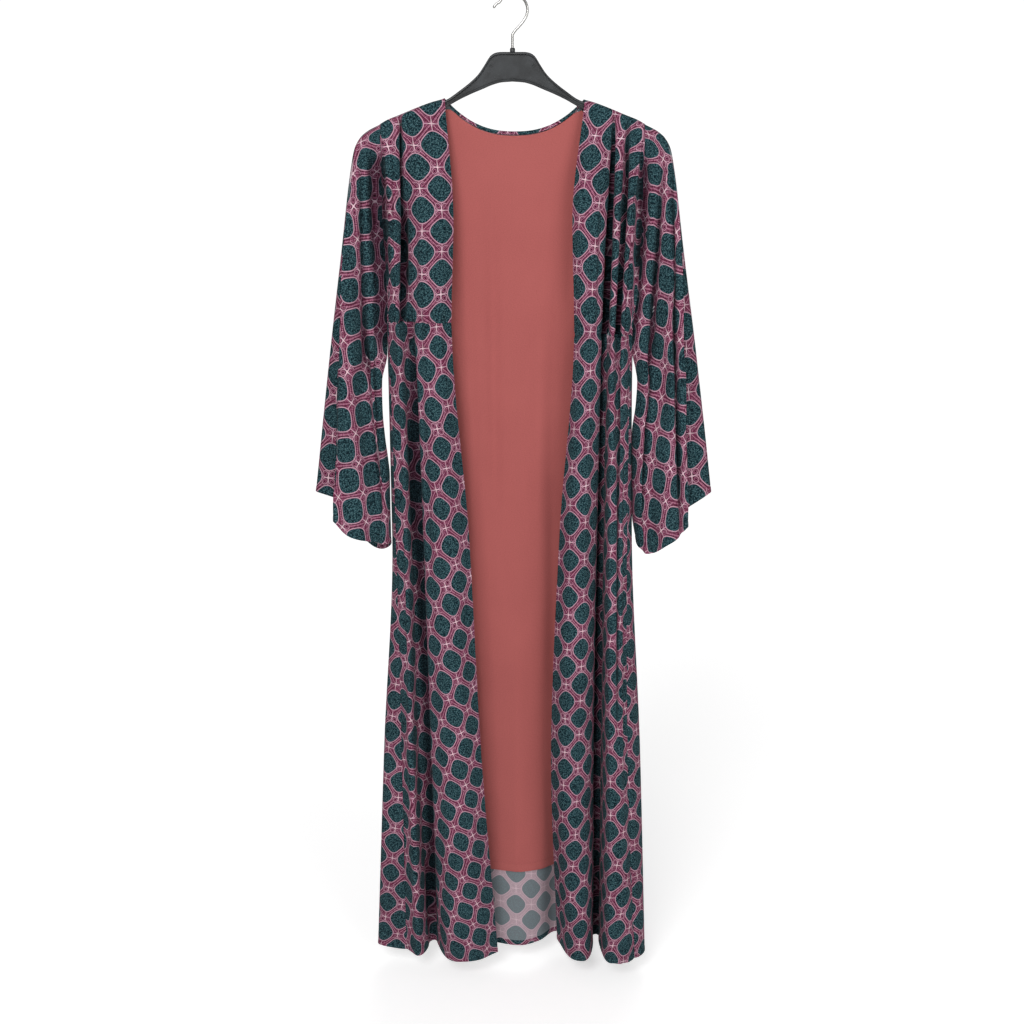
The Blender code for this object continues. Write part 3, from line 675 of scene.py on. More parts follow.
    def top_edge(self) -> Array:
        """List the points of the panel's top edge."""
        return self.grid(self.bodice_shares()[:1])[0]

    def creased(self, grid: Array, creases: Sequence[Crease], from_seam: Array) -> Array:
        """Work out the heights of creases, which run out before the side seam."""
        heights = crease_heights(grid[:, :, 0], grid[:, :, 2], creases, self.crease_fade)
        return heights * smooth_step(from_seam / self.seam_clear)

    def seam_depth(self, from_seam: Array) -> Array:
        """Give the depth of the dip along the side seam."""
        return self.seam_dip * near(from_seam, self.seam_width) * smooth_step(from_seam / self.seam_edge)

    def outward(self) -> Array:
        """Give the direction that the panel's right side faces on the whole."""
        return np.array((0, self.facing.value, 0))


@dataclass
class Front(Panel):
    """One front of the robe: a pleated bodice and, below the gathered waist seam, a skirt."""

    side: Side = Side.RIGHT
    gathers: int = 6
    gather_depth: float = 2.2
    gather_fade_down: float = 48.0
    gather_fade_up: float = 26.0
    gather_end_share: float = 0.1
    gather_lean_range: float = 80.0
    waist_dip: float = 1.7
    edge_roll: float = 1.6
    edge_width: float = 4.0
    top_clear: float = 14.0
    hem: Hem = Hem(9.0)
    turned_rows: int = 8
    turned_columns: int = 8
    bodice_creases: Sequence[Crease] = ()
    skirt_creases: Sequence[Crease] = ()
    waist_gathers: Sequence[Crease] = ()

    def gathered(self, grid: Array) -> Array:
        """Add the gathers of the waist seam, which fade above and below it, to bodice or skirt.

        Args:
            grid: Points of the panel.

        Returns:
            The gathered points.
        """
        grid = grid.copy()
        place = lengths_over(grid * (1, 1, 0), 1)
        place /= place[:, -1:]
        is_right = self.side is Side.RIGHT
        above = grid[:, :, 2] - (self.drape.waist_right_z if is_right else self.drape.waist_left_z)
        fade = np.exp(np.where(above > 0, -above / self.gather_fade_up, above / self.gather_fade_down))
        ends = smooth_step(place / self.gather_end_share) * smooth_step((1 - place) / self.gather_end_share)
        grid[:, :, 1] -= self.gather_depth * fade * ends * np.cos(2 * math.pi * self.gathers * place)
        lean = np.clip(-above / self.gather_lean_range, 0, 1)
        small = np.zeros_like(place)
        for gather in self.waist_gathers:
            reach = np.maximum(np.where(above > 0, gather.z_top, -gather.z_foot), 1)
            middle = gather.place_top + (gather.place_foot - gather.place_top) * lean
            shape = Bend.SHARP.shape((place - middle) / gather.width)
            small += gather.depth * shape * np.exp(-np.abs(above) / reach)
        grid[:, :, 1] -= small * ends
        return grid

    def dressed(self, grid: Array, creases: Sequence[Crease]) -> tuple[Array, Array]:
        """Add creases, the rolled front edge and the dip along the side seam.

        Args:
            grid: Points of the bodice or the skirt.
            creases: Its creases.

        Returns:
            The points, and the strength of the shade painted into each one's colour by how deep in a fold it
            lies.
        """
        from_edge = lengths_over(grid, 1)
        from_seam = from_edge[:, -1:] - from_edge
        heights = self.creased(grid, creases, from_seam)
        rolled = self.edge_roll * near(from_edge, self.edge_width)
        dressed = stand_out(grid, self.outward(), heights - rolled - self.seam_depth(from_seam))
        return dressed, painted_fold_shade(heights)

    def flat_places(self, rows: Array, creases: Sequence[Crease], anchor_row: int) -> Array:
        """Lay the bodice or the skirt flat, with the cloth that its slots take up.

        Args:
            rows: Its rows, as the grid takes them.
            creases: Its creases.
            anchor_row: Row where lengths along the cloth start.

        Returns:
            Metres across and along the cloth.
        """
        plain = self.grid(rows)
        places = laid_flat(plain, anchor_row, 0)
        hidden = slot_take_up(plain[:, :, 0], plain[:, :, 2], creases, self.crease_fade, self.side)
        places[:, :, 0] += MM * hidden
        return places

    def bodice(self) -> tuple[Array, Array]:
        """Work out the bodice, which dips into the waist seam, and the shade painted into each point's colour
        in folds.
        """
        drape = self.drape
        plain = self.gathered(self.grid(self.bodice_shares()))
        x, z = plain[:, :, 0], plain[:, :, 2]
        grid, shade = self.dressed(plain, self.bodice_creases)
        grid = plain + (grid - plain) * smooth_step(lengths_over(plain, 0) / self.top_clear)[:, :, None]
        beside = np.abs(x) - self.armhole_distance(z)
        sunk = drape.channel(z, drape.underarm_z) * near(beside, drape.channel_width)
        grid[:, :, 1] += sunk
        from_waist = lengths_over(grid[::-1], 0)[::-1]
        grid = stand_out(grid, self.outward(), -self.waist_dip * near(from_waist, self.seam_width))
        # Painted shade: the colour also darkens where the cloth sinks beside the sleeve.
        return grid, np.maximum(shade, painted_fold_shade(-sunk))

    def skirt(self) -> tuple[Array, Array]:
        """Work out the skirt down to its turned hem, and the shade painted into each point's colour in folds.
        """
        grid, shade = self.dressed(self.gathered(self.grid(self.skirt_shares())), self.skirt_creases)
        dip = self.waist_dip * near(lengths_over(grid, 0), self.seam_width)
        return stand_out(grid, self.outward(), self.hem.heights(grid) - dip), shade

    def armhole(self) -> Array:
        """List the points of the armhole's front half, from the underarm up to the shoulder tip."""
        return self.top_edge()[self.column_of("crest"):][::-1]

    def armhole_distance(self, z: Array) -> Array:
        """Give the distance of the armhole's front edge from the middle plane at height z."""
        edge = self.armhole()
        return np.interp(z, edge[:, 2], np.abs(edge[:, 0]))


@dataclass
class Back(Panel):
    """The back in one piece, its lining and the line of its neck."""

    creases: Sequence[Crease] = ()
    lining_creases: Sequence[Crease] = ()
    crease_fade: float = 0.35
    hem: Hem = Hem(7.0)
    turned_rows: int = 7
    lining_inset: float = 3.0
    lining_side_steps: int = 2
    lining_below_shoulder: float = 0.066
    lining_below_neck: float = 0.004
    lining_below_armhole: float = 0.03
    lining_below_neck_point: float = 0.046
    lining_bodice_rows: tuple[float, ...] = (0, 0.12, 0.3, 0.55, 0.8, 1)
    lining_skirt_rows: tuple[float, ...] = (0, 0.18, 0.38, 0.58, 0.79, 1)
    lining_refine: int = 9
    lining_hem: Hem = Hem(13.0)
    lining_hem_share: float = 0.976
    lining_hem_rows: int = 14

    def cloth(self) -> Array:
        """Work out the back, with its creases, side seams and turned hem."""
        grid = self.grid(np.concatenate([self.bodice_shares(), self.skirt_shares()[1:]]))
        over = lengths_over(grid, 1)
        from_seam = np.minimum(over, over[:, -1:] - over)
        heights = self.creased(grid, self.creases, from_seam) - self.seam_depth(from_seam)
        return stand_out(grid, self.outward(), heights + self.hem.heights(grid))

    def lining(self) -> Array:
        """Work out the lining: the back between its sides, moved inwards, down to the lining hem."""
        drape, names = self.drape, [line.name for line in self.lines]
        sides = slice(names.index("side_right"), names.index("side_left") + 1)
        inner = Panel(drape, self.lines[sides], self.facing, self.refine)
        waist = (drape.waist_right_z + drape.waist_left_z) / 2
        reach = (drape.lining_hem_z - waist) / (drape.hem_z - waist)
        bodice = finer(self.lining_bodice_rows, self.lining_refine)
        skirt = finer(self.lining_skirt_rows, 2 * self.lining_refine)[1:]
        low = np.linspace(self.lining_hem_share, 1, self.lining_hem_rows)
        skirt = np.append(skirt[skirt < self.lining_hem_share], low)
        rows = [(share, share, 0) for share in bodice] + [(1, 1, share * reach) for share in skirt]
        below = {Place.SHOULDER: self.lining_below_shoulder, Place.NECK: self.lining_below_neck,
                 Place.ARMHOLE: self.lining_below_armhole}
        free = [self.lining_below_neck_point if line.name.startswith("neck_") else below[line.place]
                for line in inner.lines]
        trim = self.lining_side_steps * self.refine
        grid = inner.grid(np.array(rows), free)[:, trim:-trim]
        grid = stand_out(grid, self.outward(), np.full(grid.shape[:2], -self.lining_inset))
        creases = [*self.creases, *self.lining_creases]
        heights = crease_heights(grid[:, :, 0], grid[:, :, 2], creases, self.crease_fade)
        return stand_out(grid, self.outward(), heights - self.lining_hem.heights(grid))

    def armhole(self, side: Side) -> Array:
        """List the points of an armhole's back half, from the shoulder tip down to the underarm."""
        if side is Side.RIGHT:
            return self.top_edge()[:self.column_of("tip_right") + 1][::-1]
        return self.top_edge()[self.column_of("tip_left"):]

    def neck_edge(self, end_steps: int) -> Array:
        """List the points of the neck edge, without the given number of coarse columns at each end."""
        trim = end_steps * self.refine
        return self.top_edge()[self.column_of("neck_right") + trim:self.column_of("neck_left") + 1 - trim]


@dataclass
class Sleeve:
    """One wide sleeve, a ring of cloth from the armhole over the shoulder end and down.

    inner and outer list heights and distances from the middle plane of its two edges.
    """

    front: Front
    back: Back
    side: Side
    folds: Sequence[SleeveFold]
    inner: Sequence[Span]
    outer: Sequence[Span]
    creases: Sequence[Crease] = ()
    back_creases: Sequence[Crease] = ()
    channel_floor: float = 0.0
    top_clear: float = 14.0
    rows: tuple[float, ...] = (
        0, 0.004, 0.013, 0.03, 0.055, 0.1, 0.17, 0.27, 0.39, 0.52, 0.65, 0.77, 0.89, 1,
    )
    row_refine: int = 9
    gap: float = 0.3
    underarm_gap: float = 0.7
    underarm_top_z: float = -330.0
    underarm_range: float = 70.0
    spread_tip: float = 2.6
    spread_underarm: float = 70.0
    swing_extra: float = 40.0
    fullness_top: float = 0.62
    even_power: float = 1.2
    folds_start: float = 0.1
    folds_range: float = 0.8
    crease_fade: float = 0.35
    hem_share: float = 0.972
    hem_rows: int = 12
    hem: Hem = Hem(9.0)
    turned_rows: int = 7
    seam_ring: float = 0.45
    anchor_ring: float = 0.28
    outer_ring: float = 0.5
    seam_gap: float = 0.1
    roll_z: float = -235.0
    line_clear: float = 6.0
    seam_reach: float = 12.0
    sink_behind: float = 0.05

    def armhole(self) -> Array:
        """List the points of the armhole from the underarm up the front and down the back."""
        front, back = self.front.armhole(), self.back.armhole(self.side)
        return np.concatenate([front[:-1], (front[-1:] + back[:1]) / 2, back[1:-1]])

    def ring(self, loop: Array) -> Array:
        """Give the share of the way round of each column of the armhole's loop."""
        front = int(np.argmax(loop[:, 2]))
        behind = np.linspace(self.outer_ring, 1, len(loop) - front + 1)[1:-1]
        return np.concatenate([np.linspace(0, self.outer_ring, front + 1), behind])

    def plain(self, loop: Array, ring: Array) -> Array:
        """Hang the sleeve without its creases.

        Args:
            loop: Points of the armhole.
            ring: Share of the way round of each column.

        Returns:
            Rows by columns of points.
        """
        knots, distances, depths, heights, swells = np.array([fold[1:] for fold in self.folds], float).T
        at = np.clip(np.searchsorted(knots, ring, side="right") - 1, 0, len(knots) - 2)
        way = (ring - knots[at]) / (knots[at + 1] - knots[at])
        hem_x, hem_y = across_folds(distances, depths, swells, at, way, ring=True)
        hem_z = along(knots, heights, ring)
        (inner_z, inner_x), (outer_z, outer_x) = zip(*self.inner), zip(*self.outer)
        start_y, start_z = loop[:, 1], loop[:, 2]
        low = smooth_step((self.underarm_top_z - start_z) / self.underarm_range)
        start_x = np.abs(loop[:, 0]) + self.gap + (self.underarm_gap - self.gap) * low
        reach = (start_z.max() - start_z) / np.ptp(start_z)
        length = self.spread_tip + (self.spread_underarm - self.spread_tip) * reach
        from_inner = np.clip(1 - np.abs(ring - self.outer_ring) * 2, 0, 1)
        even = np.sin(from_inner * math.pi / 2) ** self.even_power
        hem_inner, hem_outer = down(inner_z, inner_x, hem_z), down(outer_z, outer_x, hem_z)
        hem_share = (hem_x - hem_inner) / (hem_outer - hem_inner)
        rows = finer(self.rows, self.row_refine)
        rows = np.append(rows[rows < self.hem_share], np.linspace(self.hem_share, 1, self.hem_rows))
        points = []
        for row in rows:
            z = start_z + (hem_z - start_z) * row
            drop = start_z - z
            inside, outside = down(inner_z, inner_x, z), down(outer_z, outer_x, z)
            share = even + (hem_share - even) * smooth_step((row - self.folds_start) / self.folds_range)
            x = start_x + (inside + share * (outside - inside) - start_x) * (1 - np.exp(-drop / length))
            fullness = self.fullness_top + (1 - self.fullness_top) * row
            swung = 1 - np.exp(-drop / (length + self.swing_extra))
            y = start_y + (hem_y * fullness - start_y) * swung
            points.append(np.stack([self.side.value * x, y, z], axis=1))
        return np.array(points)

    def cloth(self) -> tuple[Array, Array]:
        """Work out the sleeve down to its turned hem, and the shade painted into each point's colour in folds
        and beside the bodice.
        """
        drape, loop = self.front.drape, self.armhole()
        ring = self.ring(loop)
        grid = self.plain(loop, ring)
        x, z = np.abs(grid[:, :, 0]), grid[:, :, 2]
        from_top = lengths_over(grid, 0)
        is_front = ring < self.seam_ring
        hundredths = np.broadcast_to(ring * 100, z.shape)
        heights = np.where(is_front, crease_heights(x, z, self.creases, self.crease_fade),
                           crease_heights(hundredths, z, self.back_creases, self.crease_fade))
        below = np.interp(-z, -z[:, 0], x[:, 0])
        from_line = x - np.where(z > drape.underarm_z, self.front.armhole_distance(z), below)
        heights *= smooth_step(from_line / self.line_clear)
        beside = near(np.maximum(from_line - self.channel_floor, 0), drape.channel_width)
        at_seam = near(from_top, self.seam_reach)
        sunk = drape.channel(loop[:, 2], drape.underarm_z) * at_seam
        sunk = (sunk + drape.channel(z, drape.underarm_z) * (1 - at_seam)) * beside
        sunk *= np.where(is_front, 1, near(1 - ring, self.sink_behind))
        # Painted shade beside the bodice: it reaches further down than the cloth sinks.
        shaded = drape.channel(z, drape.channel_shade_foot_z) * beside
        shade = np.maximum(painted_fold_shade(heights), painted_fold_shade(-shaded))
        grid[:, :, 1] += sunk
        heights *= smooth_step(from_top / self.top_clear)
        heights += self.hem.heights(grid)
        return stand_out(grid, self.outward(grid), heights, ring=True), shade

    def outward(self, grid: Array) -> Array:
        """Give the direction away from the middle of each row."""
        return grid - grid.mean(axis=1, keepdims=True)

    def unrolled(self, grid: Array, top: int, anchor: int) -> Array:
        """Unroll cloth along level lines.

        Args:
            grid: Rows by columns of points.
            top: Highest column, where the level lines start.
            anchor: Column that keeps its x.

        Returns:
            Metres across and along the cloth.
        """
        x, y, z = np.moveaxis(grid, 2, 0)
        fall = np.maximum.accumulate(-z, axis=0)
        across = np.zeros_like(z)
        for way, order in ((-1, range(top, 0, -1)), (1, range(top, grid.shape[1] - 1))):
            for before in order:
                here = before + way
                at_x, at_y, at = (np.interp(fall[:, here], fall[:, before], values[:, before])
                                  for values in (x, y, across))
                step = np.hypot(x[:, here] - at_x, y[:, here] - at_y)
                across[:, here] = at + self.side.value * way * step
        across += np.interp(fall, fall[:, anchor], x[:, anchor] - across[:, anchor])
        steps = np.diff(grid, axis=0)
        slack = (np.linalg.norm(steps, axis=2) - np.abs(steps[:, :, 2])) * (z[:-1] > self.roll_z)
        rise = z + np.pad(np.cumsum(slack[::-1], axis=0)[::-1], ((0, 1), (0, 0)))
        return np.stack([across, rise], axis=2) * MM

    def halves(self, layouts: tuple[PrintLayout, PrintLayout]) -> list["ClothShell"]:
        """Cut the sleeve at its outer seam and its underarm.

        Args:
            layouts: Print layout of the front and of the back.

        Returns:
            Shells of the front and of the back.
        """
        ring = np.append(self.ring(self.armhole()), 1.0)
        seam, anchor, outer = (
            int(np.argmin(np.abs(ring - at))) for at in (self.seam_ring, self.anchor_ring, self.outer_ring)
        )
        grid, shade = self.cloth()
        normals = grid_normals(grid, self.outward(grid), ring=True)
        grid, shade, normals = (
            np.concatenate([values, values[:, :1]], axis=1) for values in (grid, shade, normals)
        )
        shells = []
        for name, columns, top, kept, layout in (
            ("front", slice(0, seam + 1), seam, anchor, layouts[0]),
            ("back", slice(seam, None), outer - seam, outer - seam, layouts[1]),
        ):
            half = grid[:, columns].copy()
            for edge, inside in ((0, 1), (-1, -2)):
                half[:, edge] += unit(half[:, inside] - half[:, edge]) * self.seam_gap / 2
            shell = ClothShell(
                f"sleeve_{name}_{self.side.name.lower()}", half, self.unrolled(half, top, kept),
                normals[:, columns], layout, shade[:, columns], turned_rows=self.turned_rows,
            )
            shell.normals = normals[:, columns].copy()
            shells.append(shell)
        return shells


def mesh_from_arrays(name: str, points: Array, faces: Array, places: Array, maps: dict[str, Array]) -> Mesh:
    """Make a smooth mesh from arrays.

    Args:
        name: Name of the mesh.
        points: Vertices in millimetres, along the last axis.
        faces: Vertex numbers of each face.
        places: Number of the place at each corner of the faces.
        maps: Two values for each place, by name of the map.

    Returns:
        The mesh.
    """
    mesh = bpy.data.meshes.new(name)
    mesh.vertices.add(points.size // 3)
    mesh.vertices.foreach_set("co", np.ascontiguousarray(points * MM, np.float32).ravel())
    mesh.loops.add(faces.size)
    mesh.loops.foreach_set("vertex_index", np.ascontiguousarray(faces, np.int32).ravel())
    mesh.polygons.add(len(faces))
    mesh.polygons.foreach_set("loop_start", np.arange(0, faces.size, faces.shape[1], dtype=np.int32))
    mesh.update(calc_edges=True)
    mesh.polygons.foreach_set("use_smooth", np.ones(len(faces), bool))
    for map_name, values in maps.items():
        layer = mesh.uv_layers.new(name=map_name)
        layer.data.foreach_set("uv", values.reshape(-1, 2)[places.ravel()].ravel())
    return mesh


def finish_piece(mesh: Mesh, materials: Sequence[Material], slot: str) -> Item:
    """Link a mesh as a piece that rides on the part's body.

    Args:
        mesh: The mesh.
        materials: Its materials in order.
        slot: The record's material slot; not used.

    Returns:
        The piece.
    """
    for material in materials:
        mesh.materials.append(material)
    mesh.set_sharp_from_angle(angle=RIM_ANGLE)
    piece = bpy.data.objects.new(mesh.name, mesh)
    bpy.context.scene.collection.objects.link(piece)
    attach(piece, BODY)
    LOG.info("%s: %d faces", piece.name, len(mesh.polygons))
    return piece


def quads(index: Array) -> Array:
    """List the four corners of each cell of a grid of vertex numbers."""
    corners = [index[:-1, :-1], index[:-1, 1:], index[1:, 1:], index[1:, :-1]]
    return np.stack(corners, axis=-1).reshape(-1, 4)


def turn_angles(sides: int) -> Array:
    """List the angles of the points round a section, in radians."""
    return np.arange(sides) * 2 * math.pi / sides


def tube_piece(name: str, tubes: Array, material: Material, slot: str,
               maps: Optional[dict[str, Array]] = None) -> Item:
    """Make a piece of tubes with closed ends.

    Args:
        name: Name of the piece.
        tubes: Points round each section of each tube.
        material: Its finish.
        slot: The record's material slot.
        maps: Maps of one tube, with each section's first place again at its end.

    Returns:
        The piece.
    """
    count, stations, around = tubes.shape[:3]
    index = np.arange(stations * around).reshape(stations, around)
    faces = quads(np.append(index, index[:, :1], axis=1))
    faces = (faces + np.arange(count)[:, None, None] * index.size).reshape(-1, 4)
    places = quads(np.arange(stations * (around + 1)).reshape(stations, around + 1))
    mesh = mesh_from_arrays(name, tubes, faces, places, maps or {})
    shape = bmesh.new()
    shape.from_mesh(mesh)
    bmesh.ops.holes_fill(shape, edges=[edge for edge in shape.edges if edge.is_boundary], sides=0)
    bmesh.ops.recalc_face_normals(shape, faces=shape.faces)
    shape.to_mesh(mesh)
    shape.free()
    return finish_piece(mesh, (material,), slot)


@dataclass
class ClothShell:
    """Thin shell of cloth on a grid of points; places are metres across and along the flat cloth."""

    name: str
    grid: Array
    places: Array
    outward: Array
    layout: PrintLayout
    # Strength of the shade painted into the printed colour at each point, from 0 to 1.
    shade: Optional[Array] = None
    wall: float = 0.9
    turned_rows: int = 0
    turned_columns: int = 0
    normals: Array = field(init=False)

    def __post_init__(self) -> None:
        """Find the normals; neighbours may then match them along a seam."""
        self.normals = grid_normals(self.grid, self.outward)

    def faces(self) -> tuple[Array, Array]:
        """List the faces of both sides and the rims.

        Returns:
            Vertex numbers, and 1 for each face of the reverse, 0 for the others.
        """
        front, behind = np.arange(self.grid.size // 3 * 2).reshape(2, *self.grid.shape[:2])
        rims = np.stack([front, behind], axis=-1)
        sides = [
            quads(front), quads(behind)[:, ::-1], quads(rims[0]), quads(rims[-1])[:, ::-1],
            quads(rims[:, 0])[:, ::-1], quads(rims[:, -1]),
        ]
        reverse = np.zeros_like(front[1:, 1:])
        reverse[:len(reverse) - self.turned_rows, self.turned_columns:] = 1
        faces = np.concatenate(sides)
        chosen = np.zeros(len(faces), int)
        chosen[reverse.size:2 * reverse.size] = reverse.ravel()
        return faces, chosen

    def build(self, materials: Sequence[Material], slot: str) -> Item:
        """Make the shell's piece.

        Args:
            materials: Finish of the right side and of the reverse.
            slot: The record's material slot.

        Returns:
            The piece.
        """
        faces, chosen = self.faces()
        crossed = np.cross(np.diff(self.grid, axis=1)[:-1], np.diff(self.grid, axis=0)[:, :-1])
        if (crossed * self.normals[:-1, :-1]).sum() > 0:
            faces = faces[:, ::-1]
        half = self.normals * self.wall / 2
        points = np.stack([self.grid + half, self.grid - half])
        # The painted shade goes into its own map, which the printed cloth's colour reads.
        depth = np.zeros(self.grid.shape[:2]) if self.shade is None else self.shade
        mesh = mesh_from_arrays(self.name, points, faces, faces % depth.size, {
            CLOTH_MAP: self.places,
            PRINT_MAP: self.layout.places(self.places),
            PAINTED_SHADE_MAP: np.stack([depth, depth], axis=2),
        })
        mesh.polygons.foreach_set("material_index", chosen)
        return finish_piece(mesh, materials, slot)

    def declare(self, piece: Item, held: str, rests_on: Sequence[str], with_pieces: Sequence[Item]) -> None:
        """Measure the width and length of the flat cloth that the shell was cut to; the sizes are not kept.

        Args:
            piece: The shell's piece; not used.
            held: How it is held; not used.
            rests_on: What it hangs from or lies on; not used.
            with_pieces: Separate pieces on it; not used.
        """
        width, length = np.ptp(self.places, axis=(0, 1))


class NodeSheet:
    """Adds and links the shader nodes of one node tree."""

    def __init__(self, tree: Tree) -> None:
        """Start on a tree."""
        self.tree = tree

    def node(self, kind: str, **settings: object) -> bpy.types.Node:
        """Add a node of a kind, with its settings.

        Args:
            kind: Blender's name of the node.
            settings: Values of its properties.

        Returns:
            The node.
        """
        made = self.tree.nodes.new(kind)
        for name, value in settings.items():
            setattr(made, name, value)
        return made

    def put(self, socket: Socket, value: object) -> None:
        """Link a socket to another one, or set it to a plain value.

        Args:
            socket: The socket.
            value: Another socket, a number or a colour.
        """
        if isinstance(value, Socket):
            self.tree.links.new(value, socket)
        else:
            socket.default_value = (*value, 1) if socket.type == "RGBA" else value

    def math(self, operation: str, *values: object, kind: str = "ShaderNodeMath") -> Socket:
        """Add a math node.

        Args:
            operation: Blender's name of the operation.
            values: Sockets or numbers for its inputs.
            kind: Blender's name of the node.

        Returns:
            The result.
        """
        made = self.node(kind, operation=operation)
        for socket, value in zip(made.inputs, values):
            self.put(socket, value)
        return made.outputs[0]

    def times(self, first: object, second: object) -> Socket:
        """Multiply two values."""
        return self.math("MULTIPLY", first, second)

    def less(self, first: object, second: object) -> Socket:
        """Take the second value from the first."""
        return self.math("SUBTRACT", first, second)

    def vector(self, operation: str, *values: object) -> Socket:
        """Add a vector math node in the same way."""
        return self.math(operation, *values, kind="ShaderNodeVectorMath")

    def step(self, value: object, low: float, high: float) -> Socket:
        """Rise softly from 0 at low to 1 at high.

        Args:
            value: What is measured.
            low: Where it starts.
            high: Where it ends.

        Returns:
            The share.
        """
        made = self.node("ShaderNodeMapRange", interpolation_type="SMOOTHSTEP")
        for name, given in (("Value", value), ("From Min", low), ("From Max", high)):
            self.put(made.inputs[name], given)
        return made.outputs["Result"]

    def mix(self, share: object, first: object, second: object, blend: str = "MIX") -> Socket:
        """Mix two colours.

        Args:
            share: Share of the second.
            first: First colour.
            second: Second colour.
            blend: Blender's name of the way to mix.

        Returns:
            The mixed colour.
        """
        made = self.node("ShaderNodeMix", data_type="RGBA", blend_type=blend)
        for number, value in ((0, share), (6, first), (7, second)):
            self.put(made.inputs[number], value)
        return made.outputs[2]

    def noise(self, vector: object, scale: float, detail: float = 2.0, output: str = "Fac") -> Socket:
        """Add a noise texture.

        Args:
            vector: Where it is read.
            scale: Waves for each unit of length.
            detail: Number of finer layers.
            output: Fac for one value, Color for three at once.

        Returns:
            The noise, about a half on the whole.
        """
        made = self.node("ShaderNodeTexNoise")
        for name, value in (("Vector", vector), ("Scale", scale), ("Detail", detail)):
            self.put(made.inputs[name], value)
        return made.outputs[output]

    def chance(self, place: Socket) -> Socket:
        """Give a random value to each whole square of places."""
        made = self.node("ShaderNodeTexWhiteNoise", noise_dimensions="2D")
        self.put(made.inputs["Vector"], self.vector("FLOOR", place))
        return made.outputs["Value"]

    def apart(self, vector: Socket) -> tuple[Socket, Socket]:
        """Split x and y off a vector."""
        made = self.node("ShaderNodeSeparateXYZ")
        self.put(made.inputs[0], vector)
        return made.outputs["X"], made.outputs["Y"]

    def weighed(self, first: Socket, second: Socket, share: float) -> Socket:
        """Add a share of the first value and the rest of the second."""
        return self.math("ADD", self.times(first, share), self.times(second, 1 - share))

    def places(self, name: str) -> Socket:
        """Read one of the cloth's own coordinate maps."""
        return self.node("ShaderNodeUVMap", uv_map=name).outputs["UV"]

    def object_place(self) -> Socket:
        """Read the place on the object."""
        return self.node("ShaderNodeTexCoord").outputs["Object"]

    def group(self, tree: Tree, **values: object) -> dict[str, Socket]:
        """Place a node group.

        Args:
            tree: The group.
            values: Inputs by name, with _ for a space.

        Returns:
            The group's outputs by name.
        """
        made = self.node("ShaderNodeGroup", node_tree=tree)
        for name, value in values.items():
            self.put(made.inputs[name.replace("_", " ")], value)
        return dict(made.outputs.items())


def group_sheet(name: str, inputs: dict[str, str], outputs: dict[str, str]) -> tuple[NodeSheet, dict, dict]:
    """Start a shader node group.

    Args:
        name: Name of the group.
        inputs: Kind of each input by name.
        outputs: Kind of each output by name.

    Returns:
        A sheet for it, what it is given and what it puts out, by name.
    """
    tree = bpy.data.node_groups.new(name, "ShaderNodeTree")
    for way, sockets in (("INPUT", inputs), ("OUTPUT", outputs)):
        for socket, kind in sockets.items():
            tree.interface.new_socket(name=socket, in_out=way, socket_type=f"NodeSocket{kind}")
    given = tree.nodes.new("NodeGroupInput").outputs
    result = tree.nodes.new("NodeGroupOutput").inputs
    return NodeSheet(tree), dict(given.items()), dict(result.items())


class LatticePlace(NamedTuple):
    """Where a place of the print lies: aside of its band, ahead of the knot, and outside its cell."""

    place: Socket
    aside: Socket
    ahead: Socket
    gap: Socket


